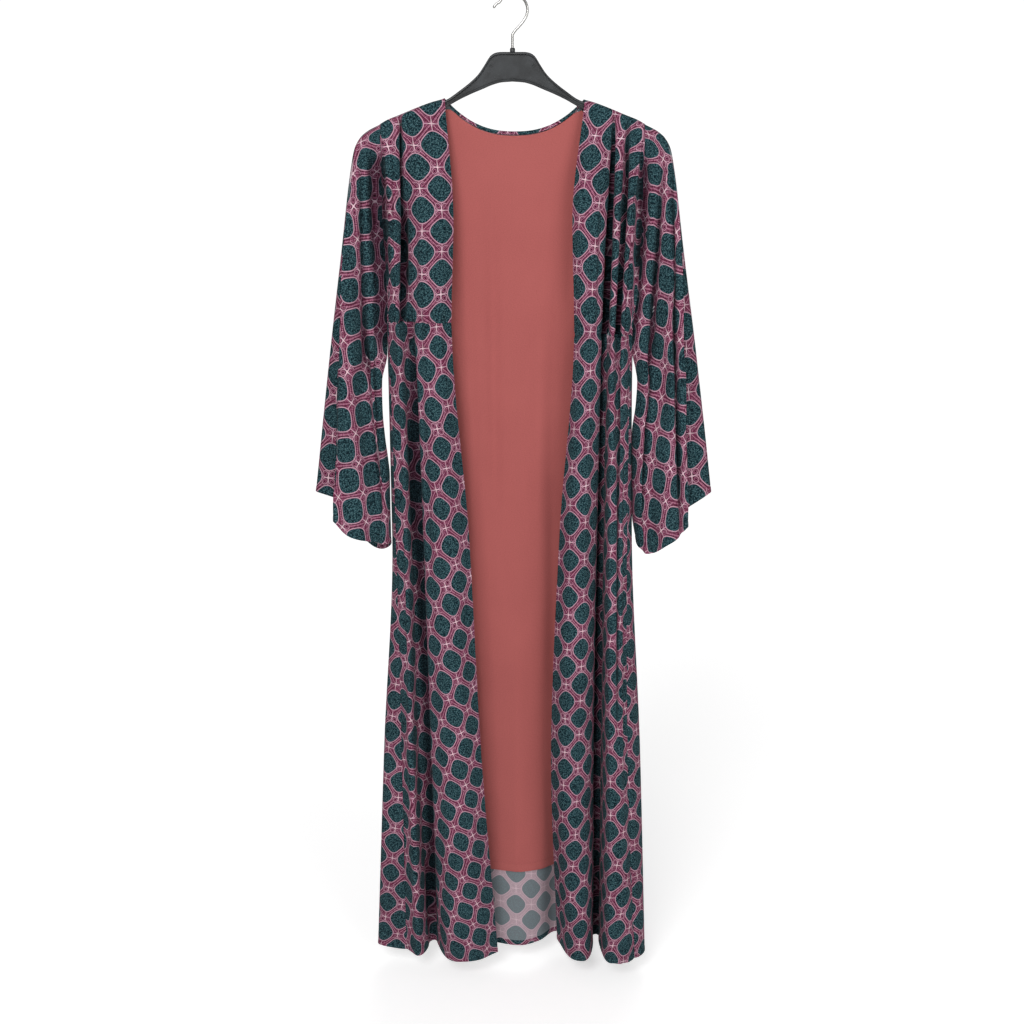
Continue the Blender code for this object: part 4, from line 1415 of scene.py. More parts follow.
@dataclass(frozen=True)
class TrellisPrint:
    """Node group of the print: dark rounded cells in a trellis of outlined leaf-shaped bands.

    Lengths are in pitches of the lattice. A pair of numbers is where something starts and is full.
    """

    name: str = "trellis_print"
    deep: Colour = (0.003, 0.012, 0.018)
    cell: Colour = (0.014, 0.044, 0.055)
    speckle: Colour = (0.090, 0.185, 0.205)
    pale: Colour = (0.66, 0.37, 0.47)
    cream: Colour = (0.86, 0.66, 0.70)
    rose: Colour = (0.190, 0.036, 0.080)
    pink: Colour = (0.330, 0.100, 0.175)
    wine: Colour = (0.050, 0.008, 0.021)
    dash: Colour = (0.52, 0.24, 0.33)
    drift_waves: float = 0.85
    roundness: float = 2.9
    cell_vary: float = 0.035
    cell_edge: Span = (0.006, -0.006)
    grain_waves: float = 15.0
    ground_tone: Span = (0.32, 0.6)
    dots: float = 21.0
    dot_size: Span = (0.46, 0.2)
    dot_tone: Span = (0.3, 0.62)
    joint_slope: float = 1.5
    fleck_waves: float = 11.0
    fleck: float = 0.030
    leaf_tone: Span = (-0.08, 0.12)
    dashes: float = 18.0
    vein_dash: Span = (0.34, 0.22)
    vein_width: Span = (0.026, 0.012)
    vein_strength: float = 0.85
    dash_off: float = 0.046
    dash_length: Span = (0.12, 0.26)
    dash_width: Span = (0.024, 0.012)
    dash_strength: float = 0.9
    contour: Span = (0.058, 0.034)
    outline: Span = (0.038, 0.024)
    outline_strength: float = 0.92
    knot_length: Span = (0.11, 0.05)
    knot_width: Span = (0.03, 0.012)
    eye_off: float = 0.19
    eye_tail: float = -0.45
    eye_chance: Span = (0.51, 0.5)
    eye_rings: tuple[Span, ...] = ((0.104, 0.092), (0.084, 0.074), (0.064, 0.054), (0.034, 0.024))

    def build(self) -> Tree:
        """Make the group, with the lattice place, cell size and wobble as inputs."""
        sheet, given, result = group_sheet(
            self.name, {"Lattice": "Vector", "Cell Size": "Float", "Wobble": "Float"},
            {"Color": "Color", "Cell": "Float"},
        )
        waves = sheet.noise(given["Lattice"], self.drift_waves, 1.0, "Color")
        drift = sheet.node("ShaderNodeVectorMath", operation="SCALE")
        sheet.put(drift.inputs[0], sheet.vector("SUBTRACT", waves, (0.5, 0.5, 0.5)))
        sheet.put(drift.inputs["Scale"], given["Wobble"])
        place = sheet.vector("ADD", given["Lattice"], drift.outputs[0])
        offs = [sheet.math("PINGPONG", value, 0.5) for value in sheet.apart(place)]
        powers = [sheet.math("POWER", sheet.less(0.5, off), self.roundness) for off in offs]
        radius = sheet.math("POWER", sheet.math("ADD", *powers), 1 / self.roundness)
        vary = sheet.times(sheet.less(sheet.chance(place), 0.5), self.cell_vary)
        gap = sheet.less(radius, sheet.math("ADD", given["Cell Size"], vary))
        at = LatticePlace(place, sheet.math("MINIMUM", *offs), sheet.math("MAXIMUM", *offs), gap)
        inside = sheet.step(gap, *self.cell_edge)
        colour = sheet.mix(inside, self.band_colour(sheet, at), self.cell_colour(sheet, place))
        sheet.put(result["Color"], colour)
        sheet.put(result["Cell"], inside)
        return sheet.tree

    def band_colour(self, sheet: NodeSheet, at: LatticePlace) -> Socket:
        """Colour the bands: a pale outline, a wine contour, a rose leaf and a light vein.

        Args:
            sheet: Sheet of the group.
            at: Place on the lattice.

        Returns:
            The colour.
        """
        from_joint = sheet.times(sheet.less(at.ahead, at.aside), self.joint_slope)
        inner = sheet.math("MINIMUM", at.gap, from_joint)
        flecks = sheet.less(sheet.noise(at.place, self.fleck_waves, 1.0), 0.5)
        rough = sheet.math("ADD", inner, sheet.times(flecks, self.fleck))
        leaf = sheet.mix(sheet.step(flecks, *self.leaf_tone), self.rose, self.pink)
        run = sheet.math("ADD", sheet.times(at.ahead, self.dashes), flecks)
        dashes = sheet.math("PINGPONG", run, 0.5)
        beside = sheet.math("ABSOLUTE", sheet.less(at.aside, self.dash_off))
        vein = sheet.times(sheet.step(dashes, *self.vein_dash), sheet.step(at.aside, *self.vein_width))
        dash = sheet.times(sheet.step(dashes, *self.dash_length), sheet.step(beside, *self.dash_width))
        colour = sheet.mix(sheet.times(vein, self.vein_strength), leaf, self.dash)
        colour = sheet.mix(sheet.times(dash, self.dash_strength), colour, self.wine)
        colour = sheet.mix(sheet.step(rough, *self.contour), colour, self.wine)
        colour = self.eyes(sheet, colour, at)
        edge = sheet.times(sheet.step(inner, *self.outline), self.outline_strength)
        colour = sheet.mix(edge, colour, self.pale)
        knot = sheet.times(sheet.step(at.ahead, *self.knot_length), sheet.step(from_joint, *self.knot_width))
        return sheet.mix(knot, colour, self.cream)

    def eyes(self, sheet: NodeSheet, colour: Socket, at: LatticePlace) -> Socket:
        """Draw a ringed petal at some of the knots, pointed towards the knot.

        Args:
            sheet: Sheet of the group.
            colour: Colour so far.
            at: Place on the lattice.

        Returns:
            The colour.
        """
        beyond = sheet.less(at.ahead, self.eye_off)
        tail = sheet.times(sheet.math("MINIMUM", beyond, 0.0), self.eye_tail)
        length = sheet.math("ADD", beyond, tail)
        squares = [sheet.times(value, value) for value in (length, at.aside)]
        radius = sheet.math("SQRT", sheet.math("ADD", *squares))
        is_there = sheet.step(sheet.chance(sheet.vector("ADD", at.place, at.place)), *self.eye_chance)
        for ring, paint in zip(self.eye_rings, (self.pale, self.wine, self.pink, self.wine)):
            colour = sheet.mix(sheet.times(sheet.step(radius, *ring), is_there), colour, paint)
        return colour

    def cell_colour(self, sheet: NodeSheet, place: Socket) -> Socket:
        """Colour the cells: a dark ground with a fine dark and light speckle.

        Args:
            sheet: Sheet of the group.
            place: Place on the print.

        Returns:
            The colour.
        """
        grain = sheet.noise(place, self.grain_waves, 1.0)
        dots = sheet.node("ShaderNodeTexVoronoi", voronoi_dimensions="2D")
        sheet.put(dots.inputs["Vector"], place)
        sheet.put(dots.inputs["Scale"], self.dots)
        size = sheet.step(dots.outputs["Distance"], *self.dot_size)
        dot = sheet.times(size, sheet.step(grain, *self.dot_tone))
        ground = sheet.mix(sheet.step(grain, *self.ground_tone), self.deep, self.cell)
        return sheet.mix(dot, ground, self.speckle)


@dataclass(frozen=True)
class CrepeWeave:
    """Node group of the weave: fine crinkled threads, closer together down the cloth than across."""

    name: str = "crepe_weave"
    crinkle: Point = (520.0, 1150.0, 1.0)
    thread: float = 2100.0
    broad: float = 9.0
    crinkle_height: float = 0.7
    crinkle_tone: float = 0.75

    def build(self) -> Tree:
        """Make the group, with the cloth's own place in metres as input."""
        outputs = {"Height": "Float", "Tone": "Float"}
        sheet, given, result = group_sheet(self.name, {"Cloth": "Vector"}, outputs)
        place = given["Cloth"]
        crinkle = sheet.noise(sheet.vector("MULTIPLY", place, self.crinkle), 1.0)
        thread, broad = sheet.noise(place, self.thread, 0.0), sheet.noise(place, self.broad)
        sheet.put(result["Height"], sheet.weighed(crinkle, thread, self.crinkle_height))
        sheet.put(result["Tone"], sheet.weighed(crinkle, broad, self.crinkle_tone))
        return sheet.tree


@dataclass(frozen=True)
class SurfaceDust:
    """Node group of the small unevenness that handled hard surfaces have."""

    name: str = "surface_dust"
    grain: float = 900.0
    smudge: float = 35.0

    def build(self) -> Tree:
        """Make the group, with the object's own place as input."""
        outputs = {"Height": "Float", "Smudge": "Float"}
        sheet, given, result = group_sheet(self.name, {"Place": "Vector"}, outputs)
        sheet.put(result["Height"], sheet.noise(given["Place"], self.grain))
        sheet.put(result["Smudge"], sheet.noise(given["Place"], self.smudge, 3.0))
        return sheet.tree


def start_material(name: str, settings: dict[str, object]) -> tuple[Material, NodeSheet, dict[str, Socket]]:
    """Start a material with plain values on its shader.

    Args:
        name: Name of the material.
        settings: The values by socket name.

    Returns:
        The material, a sheet for it, and its shader's inputs by name.
    """
    material = bpy.data.materials.new(name)
    material.use_nodes = True
    sheet = NodeSheet(material.node_tree)
    shader = dict(material.node_tree.nodes["Principled BSDF"].inputs.items())
    for socket, value in settings.items():
        sheet.put(shader[socket], value)
    return material, sheet, shader


def bumped(sheet: NodeSheet, height: Socket, strength: float, distance: float) -> Socket:
    """Turn a height into a normal.

    Args:
        sheet: Sheet of the material.
        height: The height.
        strength: Strength of the bump.
        distance: Full height in millimetres.

    Returns:
        The normal.
    """
    bump = sheet.node("ShaderNodeBump")
    for name, value in (("Strength", strength), ("Distance", distance * MM), ("Height", height)):
        sheet.put(bump.inputs[name], value)
    return bump.outputs["Normal"]


@dataclass(frozen=True)
class CrepeFinish:
    """What both sides of the printed crepe and the lining have in common."""

    name: str
    roughness: float
    specular: float
    sheen: float = 0.0
    sheen_roughness: float = 0.5
    bump: float = 0.5
    weave_height: float = 0.25
    cell_size: float = 0.395
    wobble: float = 0.13

    def start(self, weave: Tree) -> tuple[Material, NodeSheet, Socket, Socket]:
        """Start the material.

        Args:
            weave: Group of the weave.

        Returns:
            The material, a sheet for it, its colour socket and the threads' tone.
        """
        material, sheet, shader = start_material(self.name, {
            "Roughness": self.roughness, "Specular IOR Level": self.specular, "Sheen Weight": self.sheen,
            "Sheen Roughness": self.sheen_roughness,
        })
        threads = sheet.group(weave, Cloth=sheet.places(CLOTH_MAP))
        sheet.put(shader["Normal"], bumped(sheet, threads["Height"], self.bump, self.weave_height))
        return material, sheet, shader["Base Color"], threads["Tone"]

    def design(self, sheet: NodeSheet, trellis: Tree) -> dict[str, Socket]:
        """Place the group of the print."""
        lattice = sheet.places(PRINT_MAP)
        return sheet.group(trellis, Lattice=lattice, Cell_Size=self.cell_size, Wobble=self.wobble)


@dataclass(frozen=True)
class PrintedCloth(CrepeFinish):
    """Right side of the printed crepe."""

    name: str = "printed_cloth"
    roughness: float = 0.86
    specular: float = 0.08
    sheen: float = 0.03
    sheen_roughness: float = 0.45
    tone: Span = (0.3, 0.7)
    thread_dark: Colour = (0.78, 0.78, 0.78)
    thread_light: Colour = (1.15, 1.15, 1.15)
    # Painted shade: the print's colour is multiplied by this at the bottom of a fold.
    fold_painted_shade: Colour = (0.28, 0.27, 0.30)

    def build(self, trellis: Tree, weave: Tree) -> Material:
        """Make the material from the print and the weave, with shade painted into its colour deep in the
        folds.

        Args:
            trellis: Group of the print.
            weave: Group of the weave.

        Returns:
            The material.
        """
        material, sheet, base, tone = self.start(weave)
        shade = sheet.mix(sheet.step(tone, *self.tone), self.thread_dark, self.thread_light)
        colour = sheet.mix(1.0, self.design(sheet, trellis)["Color"], shade, "MULTIPLY")
        # Painted shade: the fold map darkens the colour deep in folds and in the channel beside the sleeves.
        depth, _ = sheet.apart(sheet.places(PAINTED_SHADE_MAP))
        folds = sheet.mix(depth, (1, 1, 1), self.fold_painted_shade)
        sheet.put(base, sheet.mix(1.0, colour, folds, "MULTIPLY"))
        return material


@dataclass(frozen=True)
class PrintReverse(CrepeFinish):
    """Reverse of the printed crepe, where the print only shows through."""

    name: str = "print_reverse"
    roughness: float = 0.9
    specular: float = 0.15
    bump: float = 0.4
    band: Colour = (0.62, 0.50, 0.54)
    cell: Colour = (0.255, 0.295, 0.315)
    show_through: float = 0.32
    thread_dark: Colour = (0.85, 0.85, 0.85)
    thread_light: Colour = (1.12, 1.12, 1.12)

    def build(self, trellis: Tree, weave: Tree) -> Material:
        """Make the material from the print and the weave.

        Args:
            trellis: Group of the print.
            weave: Group of the weave.

        Returns:
            The material.
        """
        material, sheet, base, tone = self.start(weave)
        design = self.design(sheet, trellis)
        ground = sheet.mix(design["Cell"], self.band, self.cell)
        colour = sheet.mix(self.show_through, ground, design["Color"])
        shade = sheet.mix(tone, self.thread_dark, self.thread_light)
        sheet.put(base, sheet.mix(1.0, colour, shade, "MULTIPLY"))
        return material


@dataclass(frozen=True)
class LiningCloth(CrepeFinish):
    """Plain dusty-rose crepe of the lining."""

    name: str = "lining_cloth"
    roughness: float = 0.85
    specular: float = 0.15
    sheen: float = 0.15
    weave_height: float = 0.3
    tone: Span = (0.3, 0.62)
    colour: Colour = (0.47, 0.124, 0.116)
    dark: Colour = (0.40, 0.102, 0.096)

    def build(self, weave: Tree) -> Material:
        """Make the material from the weave."""
        material, sheet, base, tone = self.start(weave)
        sheet.put(base, sheet.mix(sheet.step(tone, *self.tone), self.dark, self.colour))
        return material


@dataclass(frozen=True)
class Thread:
    """Sewing thread of one colour."""

    name: str
    colour: Colour
    twist: float = 2600.0
    shadow: float = 0.6

    def build(self) -> Material:
        """Make the material, a little uneven along the thread."""
        material, sheet, shader = start_material(self.name, {"Roughness": 0.7, "Specular IOR Level": 0.25})
        darker = tuple(self.shadow * value for value in self.colour)
        share = sheet.noise(sheet.object_place(), self.twist, 1.0)
        sheet.put(shader["Base Color"], sheet.mix(share, darker, self.colour))
        return material


@dataclass(frozen=True)
class HardSurface:
    """Handled hard surface with a fine grain and faint smudges: where they start and are full."""

    name: str
    colour: Colour
    worn: Colour
    smudge: Span
    roughness: float
    smudge_roughness: float
    bump: float
    grain_height: float
    specular: float = 0.5
    metallic: float = 0.0

    def build(self, dust: Tree) -> Material:
        """Make the material from the group of unevenness.

        Args:
            dust: Group of unevenness.

        Returns:
            The material.
        """
        material, sheet, shader = start_material(
            self.name, {"Specular IOR Level": self.specular, "Metallic": self.metallic}
        )
        uneven = sheet.group(dust, Place=sheet.object_place())
        smudge = sheet.step(uneven["Smudge"], *self.smudge)
        rough = sheet.math("ADD", sheet.times(smudge, self.smudge_roughness), self.roughness)
        sheet.put(shader["Base Color"], sheet.mix(smudge, self.colour, self.worn))
        sheet.put(shader["Roughness"], rough)
        sheet.put(shader["Normal"], bumped(sheet, uneven["Height"], self.bump, self.grain_height))
        return material


SATIN_PLASTIC = HardSurface(
    "hanger_plastic", (0.026, 0.028, 0.030), (0.044, 0.048, 0.052), (0.35, 0.7), 0.4, 0.12, 0.3, 0.05,
    specular=0.45,
)
PLATED_WIRE = HardSurface(
    "hook_steel", (0.62, 0.61, 0.59), (0.46, 0.46, 0.44), (0.4, 0.75), 0.2, 0.15, 0.1, 0.02, metallic=1.0,
)


class Finishes:
    """Every finish of the part, made once."""

    def __init__(self) -> None:
        """Build the shared effects and each material on them."""
        trellis, weave, dust = TrellisPrint().build(), CrepeWeave().build(), SurfaceDust().build()
        self.printed = PrintedCloth().build(trellis, weave)
        self.reverse = PrintReverse().build(trellis, weave)
        self.lining = LiningCloth().build(weave)
        self.dark_thread = Thread("dark_thread", (0.03, 0.05, 0.06)).build()
        self.rose_thread = Thread("rose_thread", (0.36, 0.10, 0.10)).build()
        self.plastic = SATIN_PLASTIC.build(dust)
        self.steel = PLATED_WIRE.build(dust)


@dataclass
class StitchRow:
    """A row of machine stitches round the hem of a shell, on its right side or its reverse."""

    name: str
    shell: ClothShell
    height: float
    on_reverse: bool = False
    pitch: float = 3.0
    stitch: float = 2.2
    half_width: float = 0.22
    half_height: float = 0.16
    sink: float = 0.05
    sides: int = 6
    shares: tuple[float, ...] = (0.0, 0.2, 0.8, 1.0)
    widths: tuple[float, ...] = (0.35, 1.0, 1.0, 0.35)

    def path(self) -> tuple[Array, Array]:
        """Find the row's line on the cloth's surface, and the normals there."""
        grid, normals = self.shell.grid[::-1], self.shell.normals[::-1]
        rows = np.argmax(lengths_over(grid, 0) >= self.height, axis=0)
        columns = np.arange(grid.shape[1])
        outward = normals[rows, columns] * (-1 if self.on_reverse else 1)
        return grid[rows, columns] + outward * self.shell.wall / 2, outward

    def build(self, material: Material, slot: str) -> Item:
        """Make all the stitches as one piece.

        Args:
            material: Finish of the thread.
            slot: The record's material slot.

        Returns:
            The piece.
        """
        path, normals = self.path()
        run = run_along(path)
        starts = np.arange(self.pitch / 2, run[-1] - self.pitch, self.pitch)
        places = starts[:, None] + np.array(self.shares) * self.stitch
        centre = np.stack([np.interp(places, run, values) for values in path.T], axis=2)
        normal = unit(np.stack([np.interp(places, run, values) for values in normals.T], axis=2))
        aside = unit(np.cross(normal, unit(centre[:, -1:] - centre[:, :1])))
        angles = turn_angles(self.sides)[:, None]
        ring = (aside[:, :, None] * np.cos(angles) * self.half_width
                + normal[:, :, None] * np.sin(angles) * self.half_height)
        ring *= np.array(self.widths)[:, None, None]
        return tube_piece(self.name, (centre - normal * self.sink)[:, :, None] + ring, material, slot)


@dataclass
class NeckBinding:
    """Narrow printed binding over the back neck edge and the top of the lining."""

    back: Back
    depth: float = 3.4
    lap: float = 0.3
    squareness: float = 3.0
    end_height: float = 0.25
    top_taper: float = 0.25
    around: int = 20
    end_steps: int = 1
    layout: PrintLayout = PrintLayout(45, 42, 10, 2)

    def build(self, material: Material) -> Item:
        """Make the binding as a flattened tube along the neck edge.

        Args:
            material: The material.

        Returns:
            The piece.
        """
        edge, inset = self.back.neck_edge(self.end_steps), self.back.lining_inset
        share = self.back.drape.binding_share(edge[:, 0])[:, None]
        above = self.back.drape.binding_height
        angle, power = turn_angles(self.around), 2 / self.squareness
        out, up = (np.sign(wave) * np.abs(wave) ** power for wave in (np.cos(angle), np.sin(angle)))
        half_depth = (self.depth + inset) / 4 * (1 + share)
        height = (above + self.lap) * (self.end_height + (1 - self.end_height) * share)
        y = edge[:, 1:2] - inset / 2 * share + half_depth * out * (1 - self.top_taper * np.maximum(up, 0))
        z = edge[:, 2:3] + above * share - height / 2 + height / 2 * up
        points = np.stack([np.broadcast_to(edge[:, :1], y.shape), y, z], axis=2)
        wide = lengths_over(np.append(points, points[:, :1], axis=1), 1)
        run = np.broadcast_to(run_along(edge)[:, None], wide.shape)
        cloth = np.stack([run, wide], axis=2) * MM
        maps = {CLOTH_MAP: cloth, PRINT_MAP: self.layout.places(cloth)}
        return tube_piece("neck_binding", points[None], material, "printed_cloth", maps)


@dataclass
class Hanger:
    """Moulded hanger with rims round a thin web, a collar and a bent wire hook."""

    stations: Sequence[HangerStation]
    rim: float = 3.0
    rim_share: float = 0.3
    web: float = 1.8
    web_share: float = 0.6
    web_slope: float = 0.9
    bend: float = 2.1
    bend_rim_share: float = 0.7
    bend_depth_share: float = 0.45
    corner_steps: int = 5
    station_steps: int = 90
    dimple_x: float = 29.0
    dimple_z: float = -90.5
    dimple_radius: float = 2.0
    dimple_depth: float = 1.2
    dimple_sides: int = 32
    collar_radius: float = 3.5
    collar_bottom_z: float = -72.2
    collar_top_z: float = -66.8
    collar_corner: tuple[Span, ...] = ((0, -1.6), (-0.3, -0.7), (-0.9, -0.15), (-1.5, 0))
    collar_gap: float = 0.05
    collar_dip: float = 0.1
    collar_sides: int = 40
    wire_radius: float = 1.75
    hook_radius: float = 20.2
    hook_shank: tuple[Span, ...] = (
        (0, -67.4), (0, -58), (0, -51), (3.4, -45), (9.4, -38.8), (15.6, -31.2), (19, -25),
    )
    hook_arc_end: float = 150.0
    hook_arc_steps: int = 14
    hook_tip: tuple[Span, ...] = ((-21.6, -10.6), (-25.9, -15.9))
    wire_steps: int = 150
    wire_sides: int = 20
    wire_end: float = 0.02

    def section(self, top: float, bottom: float, depth: float) -> Array:
        """Outline the hanger at one station.

        Args:
            top: Height of the upper edge.
            bottom: Height of the lower edge.
            depth: Half thickness of the rims.

        Returns:
            y and z round the section, starting at the top.
        """
        rim = min(self.rim, (top - bottom) * self.rim_share)
        bend = min(self.bend, rim * self.bend_rim_share, depth * self.bend_depth_share)
        web = min(self.web, depth * self.web_share)
        turn = np.linspace(0, math.pi / 2, self.corner_steps)
        swing = np.linspace(0, 1, self.corner_steps)
        round_y, round_z = depth - bend + bend * np.sin(turn), top - bend + bend * np.cos(turn)
        slope_y = web + (depth - web) * (1 - smooth_step(swing))
        slope_z = top - rim - self.web_slope * swing
        upper = [(0, top), *zip(round_y, round_z), *zip(slope_y, slope_z)]
        flip = top + bottom
        lower = [(y, flip - z) for y, z in reversed(upper)]
        half = upper + [(web, flip / 2)] + lower
        return np.array(half + [(-y, z) for y, z in reversed(half[1:-1])])

    def body(self, material: Material) -> None:
        """Make the moulded body from sections along its arms, with two blind dimples.

        Args:
            material: The material.
        """
        known = [row.x for row in self.stations]
        reach = known[-1] * np.sin(np.linspace(0, math.pi / 2, self.station_steps))
        reach = np.concatenate([-reach[:0:-1], reach])
        tables = [along(known, values, np.abs(reach)) for values in zip(*[row[1:] for row in self.stations])]
        sections = np.array([self.section(*row) for row in zip(*tables)])
        x = np.broadcast_to(reach[:, None, None], (*sections.shape[:2], 1))
        points = np.concatenate([x, sections], axis=2)
        piece = tube_piece("hanger_body", points[None], material, "hanger_plastic")
        for side in Side:
            self.cut_dimple(piece, side)
        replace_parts(piece, "hanger_body")

    def cut_dimple(self, piece: Item, side: Side) -> None:
        """Sink one blind dimple into the front of the web.

        Args:
            piece: The hanger's body.
            side: Side of the dimple.
        """
        shape, radius = bmesh.new(), self.dimple_radius * MM
        bmesh.ops.create_cone(shape, cap_ends=True, segments=self.dimple_sides, radius1=radius,
                              radius2=radius, depth=2 * self.dimple_depth * MM)
        across = Vector((0, 1, 0)).to_track_quat("Z", "Y").to_matrix()
        bmesh.ops.rotate(shape, verts=shape.verts, matrix=across)
        place = Vector((side.value * self.dimple_x, -self.web, self.dimple_z)) * MM
        bmesh.ops.translate(shape, verts=shape.verts, vec=place)
        mesh = bpy.data.meshes.new("dimple")
        shape.to_mesh(mesh)
        shape.free()
        cutter = bpy.data.objects.new("dimple", mesh)
        bpy.context.scene.collection.objects.link(cutter)
        cut = piece.modifiers.new("dimple", "BOOLEAN")
        cut.operation = "DIFFERENCE"
        cut.object = cutter
        graph = bpy.context.evaluated_depsgraph_get()
        cut_mesh = bpy.data.meshes.new_from_object(piece.evaluated_get(graph))
        piece.modifiers.clear()
        piece.data = cut_mesh
        bpy.data.objects.remove(cutter)
        piece.data.set_sharp_from_angle(angle=RIM_ANGLE)

    def collar(self, material: Material) -> None:
        """Turn the round collar that the wire is pressed into.

        Args:
            material: The material.
        """
        radius, top = self.collar_radius, self.collar_top_z
        corner = [(radius + out, top + up) for out, up in self.collar_corner]
        inside = (self.wire_radius + self.collar_gap, top - self.collar_dip)
        profile = [(radius, self.collar_bottom_z), *corner, inside]
        angle = turn_angles(self.collar_sides)
        rings = [np.stack([out * np.cos(angle), out * np.sin(angle), np.full_like(angle, z)], axis=1)
                 for out, z in profile]
        piece = tube_piece("hanger_collar", np.array([rings]), material, "hanger_plastic")
        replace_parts(piece, "hanger_collar")

    def hook(self, material: Material) -> None:
        """Bend the wire from the collar up, round over the rail and out at its rounded tip.

        Args:
            material: The material.
        """
        turn = np.radians(np.linspace(0, self.hook_arc_end, self.hook_arc_steps + 1))
        arc = self.hook_radius * np.stack([np.cos(turn), np.sin(turn)], axis=1)
        arc[:, 1] += self.wire_radius - self.hook_radius
        path = np.concatenate([self.hook_shank, arc, self.hook_tip])
        run = run_along(path)
        place = np.linspace(0, run[-1], self.wire_steps)
        line = np.stack([along(run, values, place) for values in path.T], axis=1)
        ahead = unit(np.gradient(line, axis=0))
        from_end = np.clip(1 - (run[-1] - place) / self.wire_radius, 0, 1)
        radius = self.wire_radius * np.sqrt(np.clip(1 - from_end ** 2, self.wire_end, 1))[:, None]
        angle = turn_angles(self.wire_sides)
        aside = radius * np.cos(angle)
        x, z = line[:, :1] - ahead[:, 1:] * aside, line[:, 1:] + ahead[:, :1] * aside
        points = np.stack([x, radius * np.sin(angle), z], axis=2)
        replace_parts(tube_piece("hanger_hook", points[None], material, "hook_steel"), "hanger_hook")

    def build(self, finishes: Finishes) -> None:
        """Make the body, the collar and the hook."""
        self.body(finishes.plastic)
        self.collar(finishes.plastic)
        self.hook(finishes.steel)


class Lamp(NamedTuple):
    """A large soft light: its place and target, the length of its sides and its power in watts."""

    name: str
    place: Point
    target: Point
    size: float
    power: float


@dataclass
class Studio:
    """White floor, soft lights and a camera in front of the robe, in metres and watts."""

    lamps: tuple[Lamp, ...] = (
        Lamp("key", (-0.9, -2.6, 1.1), (0.0, 0.0, -0.6), 1.5, 54.0),
        Lamp("fill", (1.6, -2.4, -0.1), (0.0, 0.0, -0.8), 1.6, 24.0),
        Lamp("behind", (0.3, 2.2, 1.0), (0.0, 0.0, -0.6), 1.8, 18.0),
    )
    floor_z: float = -1.49
    floor_half: float = 40.0
    floor_colour: Colour = (0.9, 0.9, 0.9)
    glow_near: float = 0.46
    glow_far: float = 0.82
    glow_range: float = 4.0
    world_light: float = 0.22
    world_seen: float = 1.05
    camera_y: float = -2.0
    camera_z: float = -0.1615
    camera_tilt: float = 15.66
    camera_reach: float = 200.0
    focal_pixels: float = 1398.0
    image_pixels: float = 1024.0
    sensor: float = 36.0
    middle_shift: float = -0.5

    def build(self) -> None:
        """Set up the floor, the lights and the camera."""
        self.floor()
        self.world()
        for lamp in self.lamps:
            data = bpy.data.lights.new(lamp.name, "AREA")
            data.shape = "SQUARE"
            data.size = lamp.size
            data.energy = lamp.power
            item = self.add(lamp.name, data)
            item.location = lamp.place
            ahead = Vector(lamp.target) - Vector(lamp.place)
            item.rotation_euler = ahead.to_track_quat("-Z", "Y").to_euler()
        self.camera()
        view = bpy.context.scene.view_settings
        view.view_transform = "Standard"
        view.look = "None"

    def add(self, name: str, data: bpy.types.ID) -> Item:
        """Link an object of the studio."""
        item = bpy.data.objects.new(name, data)
        bpy.context.scene.collection.objects.link(item)
        return item

    def floor(self) -> None:
        """Lay the pale floor, which glows for the camera alone."""
        mesh, half = bpy.data.meshes.new("floor"), self.floor_half
        corners = [(-half, -half, 0), (half, -half, 0), (half, half, 0), (-half, half, 0)]
        mesh.from_pydata(corners, [], [(0, 1, 2, 3)])
        material, sheet, shader = start_material("floor_white", {
            "Roughness": 0.9, "Specular IOR Level": 0.0, "Base Color": self.floor_colour,
            "Emission Color": (1, 1, 1),
        })
        away = sheet.node("ShaderNodeVectorMath", operation="LENGTH")
        sheet.put(away.inputs[0], sheet.object_place())
        glow = sheet.node("ShaderNodeMapRange")
        for name, value in (("Value", away.outputs["Value"]), ("From Max", self.glow_range),
                            ("To Min", self.glow_near), ("To Max", self.glow_far)):
            sheet.put(glow.inputs[name], value)
        is_seen = sheet.node("ShaderNodeLightPath").outputs["Is Camera Ray"]
        sheet.put(shader["Emission Strength"], sheet.times(is_seen, glow.outputs["Result"]))
        mesh.materials.append(material)
        floor = self.add("floor", mesh)
        floor.location.z = self.floor_z

    def world(self) -> None:
        """Surround the scene with soft white light, brighter for the camera."""
        world = bpy.data.worlds.new("studio")
        world.use_nodes = True
        bpy.context.scene.world = world
        sheet = NodeSheet(world.node_tree)
        shader = world.node_tree.nodes["Background"].inputs
        sheet.put(shader["Color"], (1, 1, 1))
        is_seen = sheet.node("ShaderNodeLightPath").outputs["Is Camera Ray"]
        more = sheet.times(is_seen, self.world_seen - self.world_light)
        sheet.put(shader["Strength"], sheet.math("ADD", more, self.world_light))

    def camera(self) -> None:
        """Place the camera at shoulder height, looking a little down."""
        lens = bpy.data.cameras.new("camera")
        lens.sensor_width = self.sensor
        lens.lens = self.focal_pixels * self.sensor / self.image_pixels
        lens.shift_x = self.middle_shift / self.image_pixels
        lens.clip_end = self.camera_reach
        item = self.add("camera", lens)
        item.location = (0, self.camera_y, self.camera_z)
        item.rotation_euler = (math.radians(90 - self.camera_tilt), 0, 0)
        bpy.context.scene.camera = item


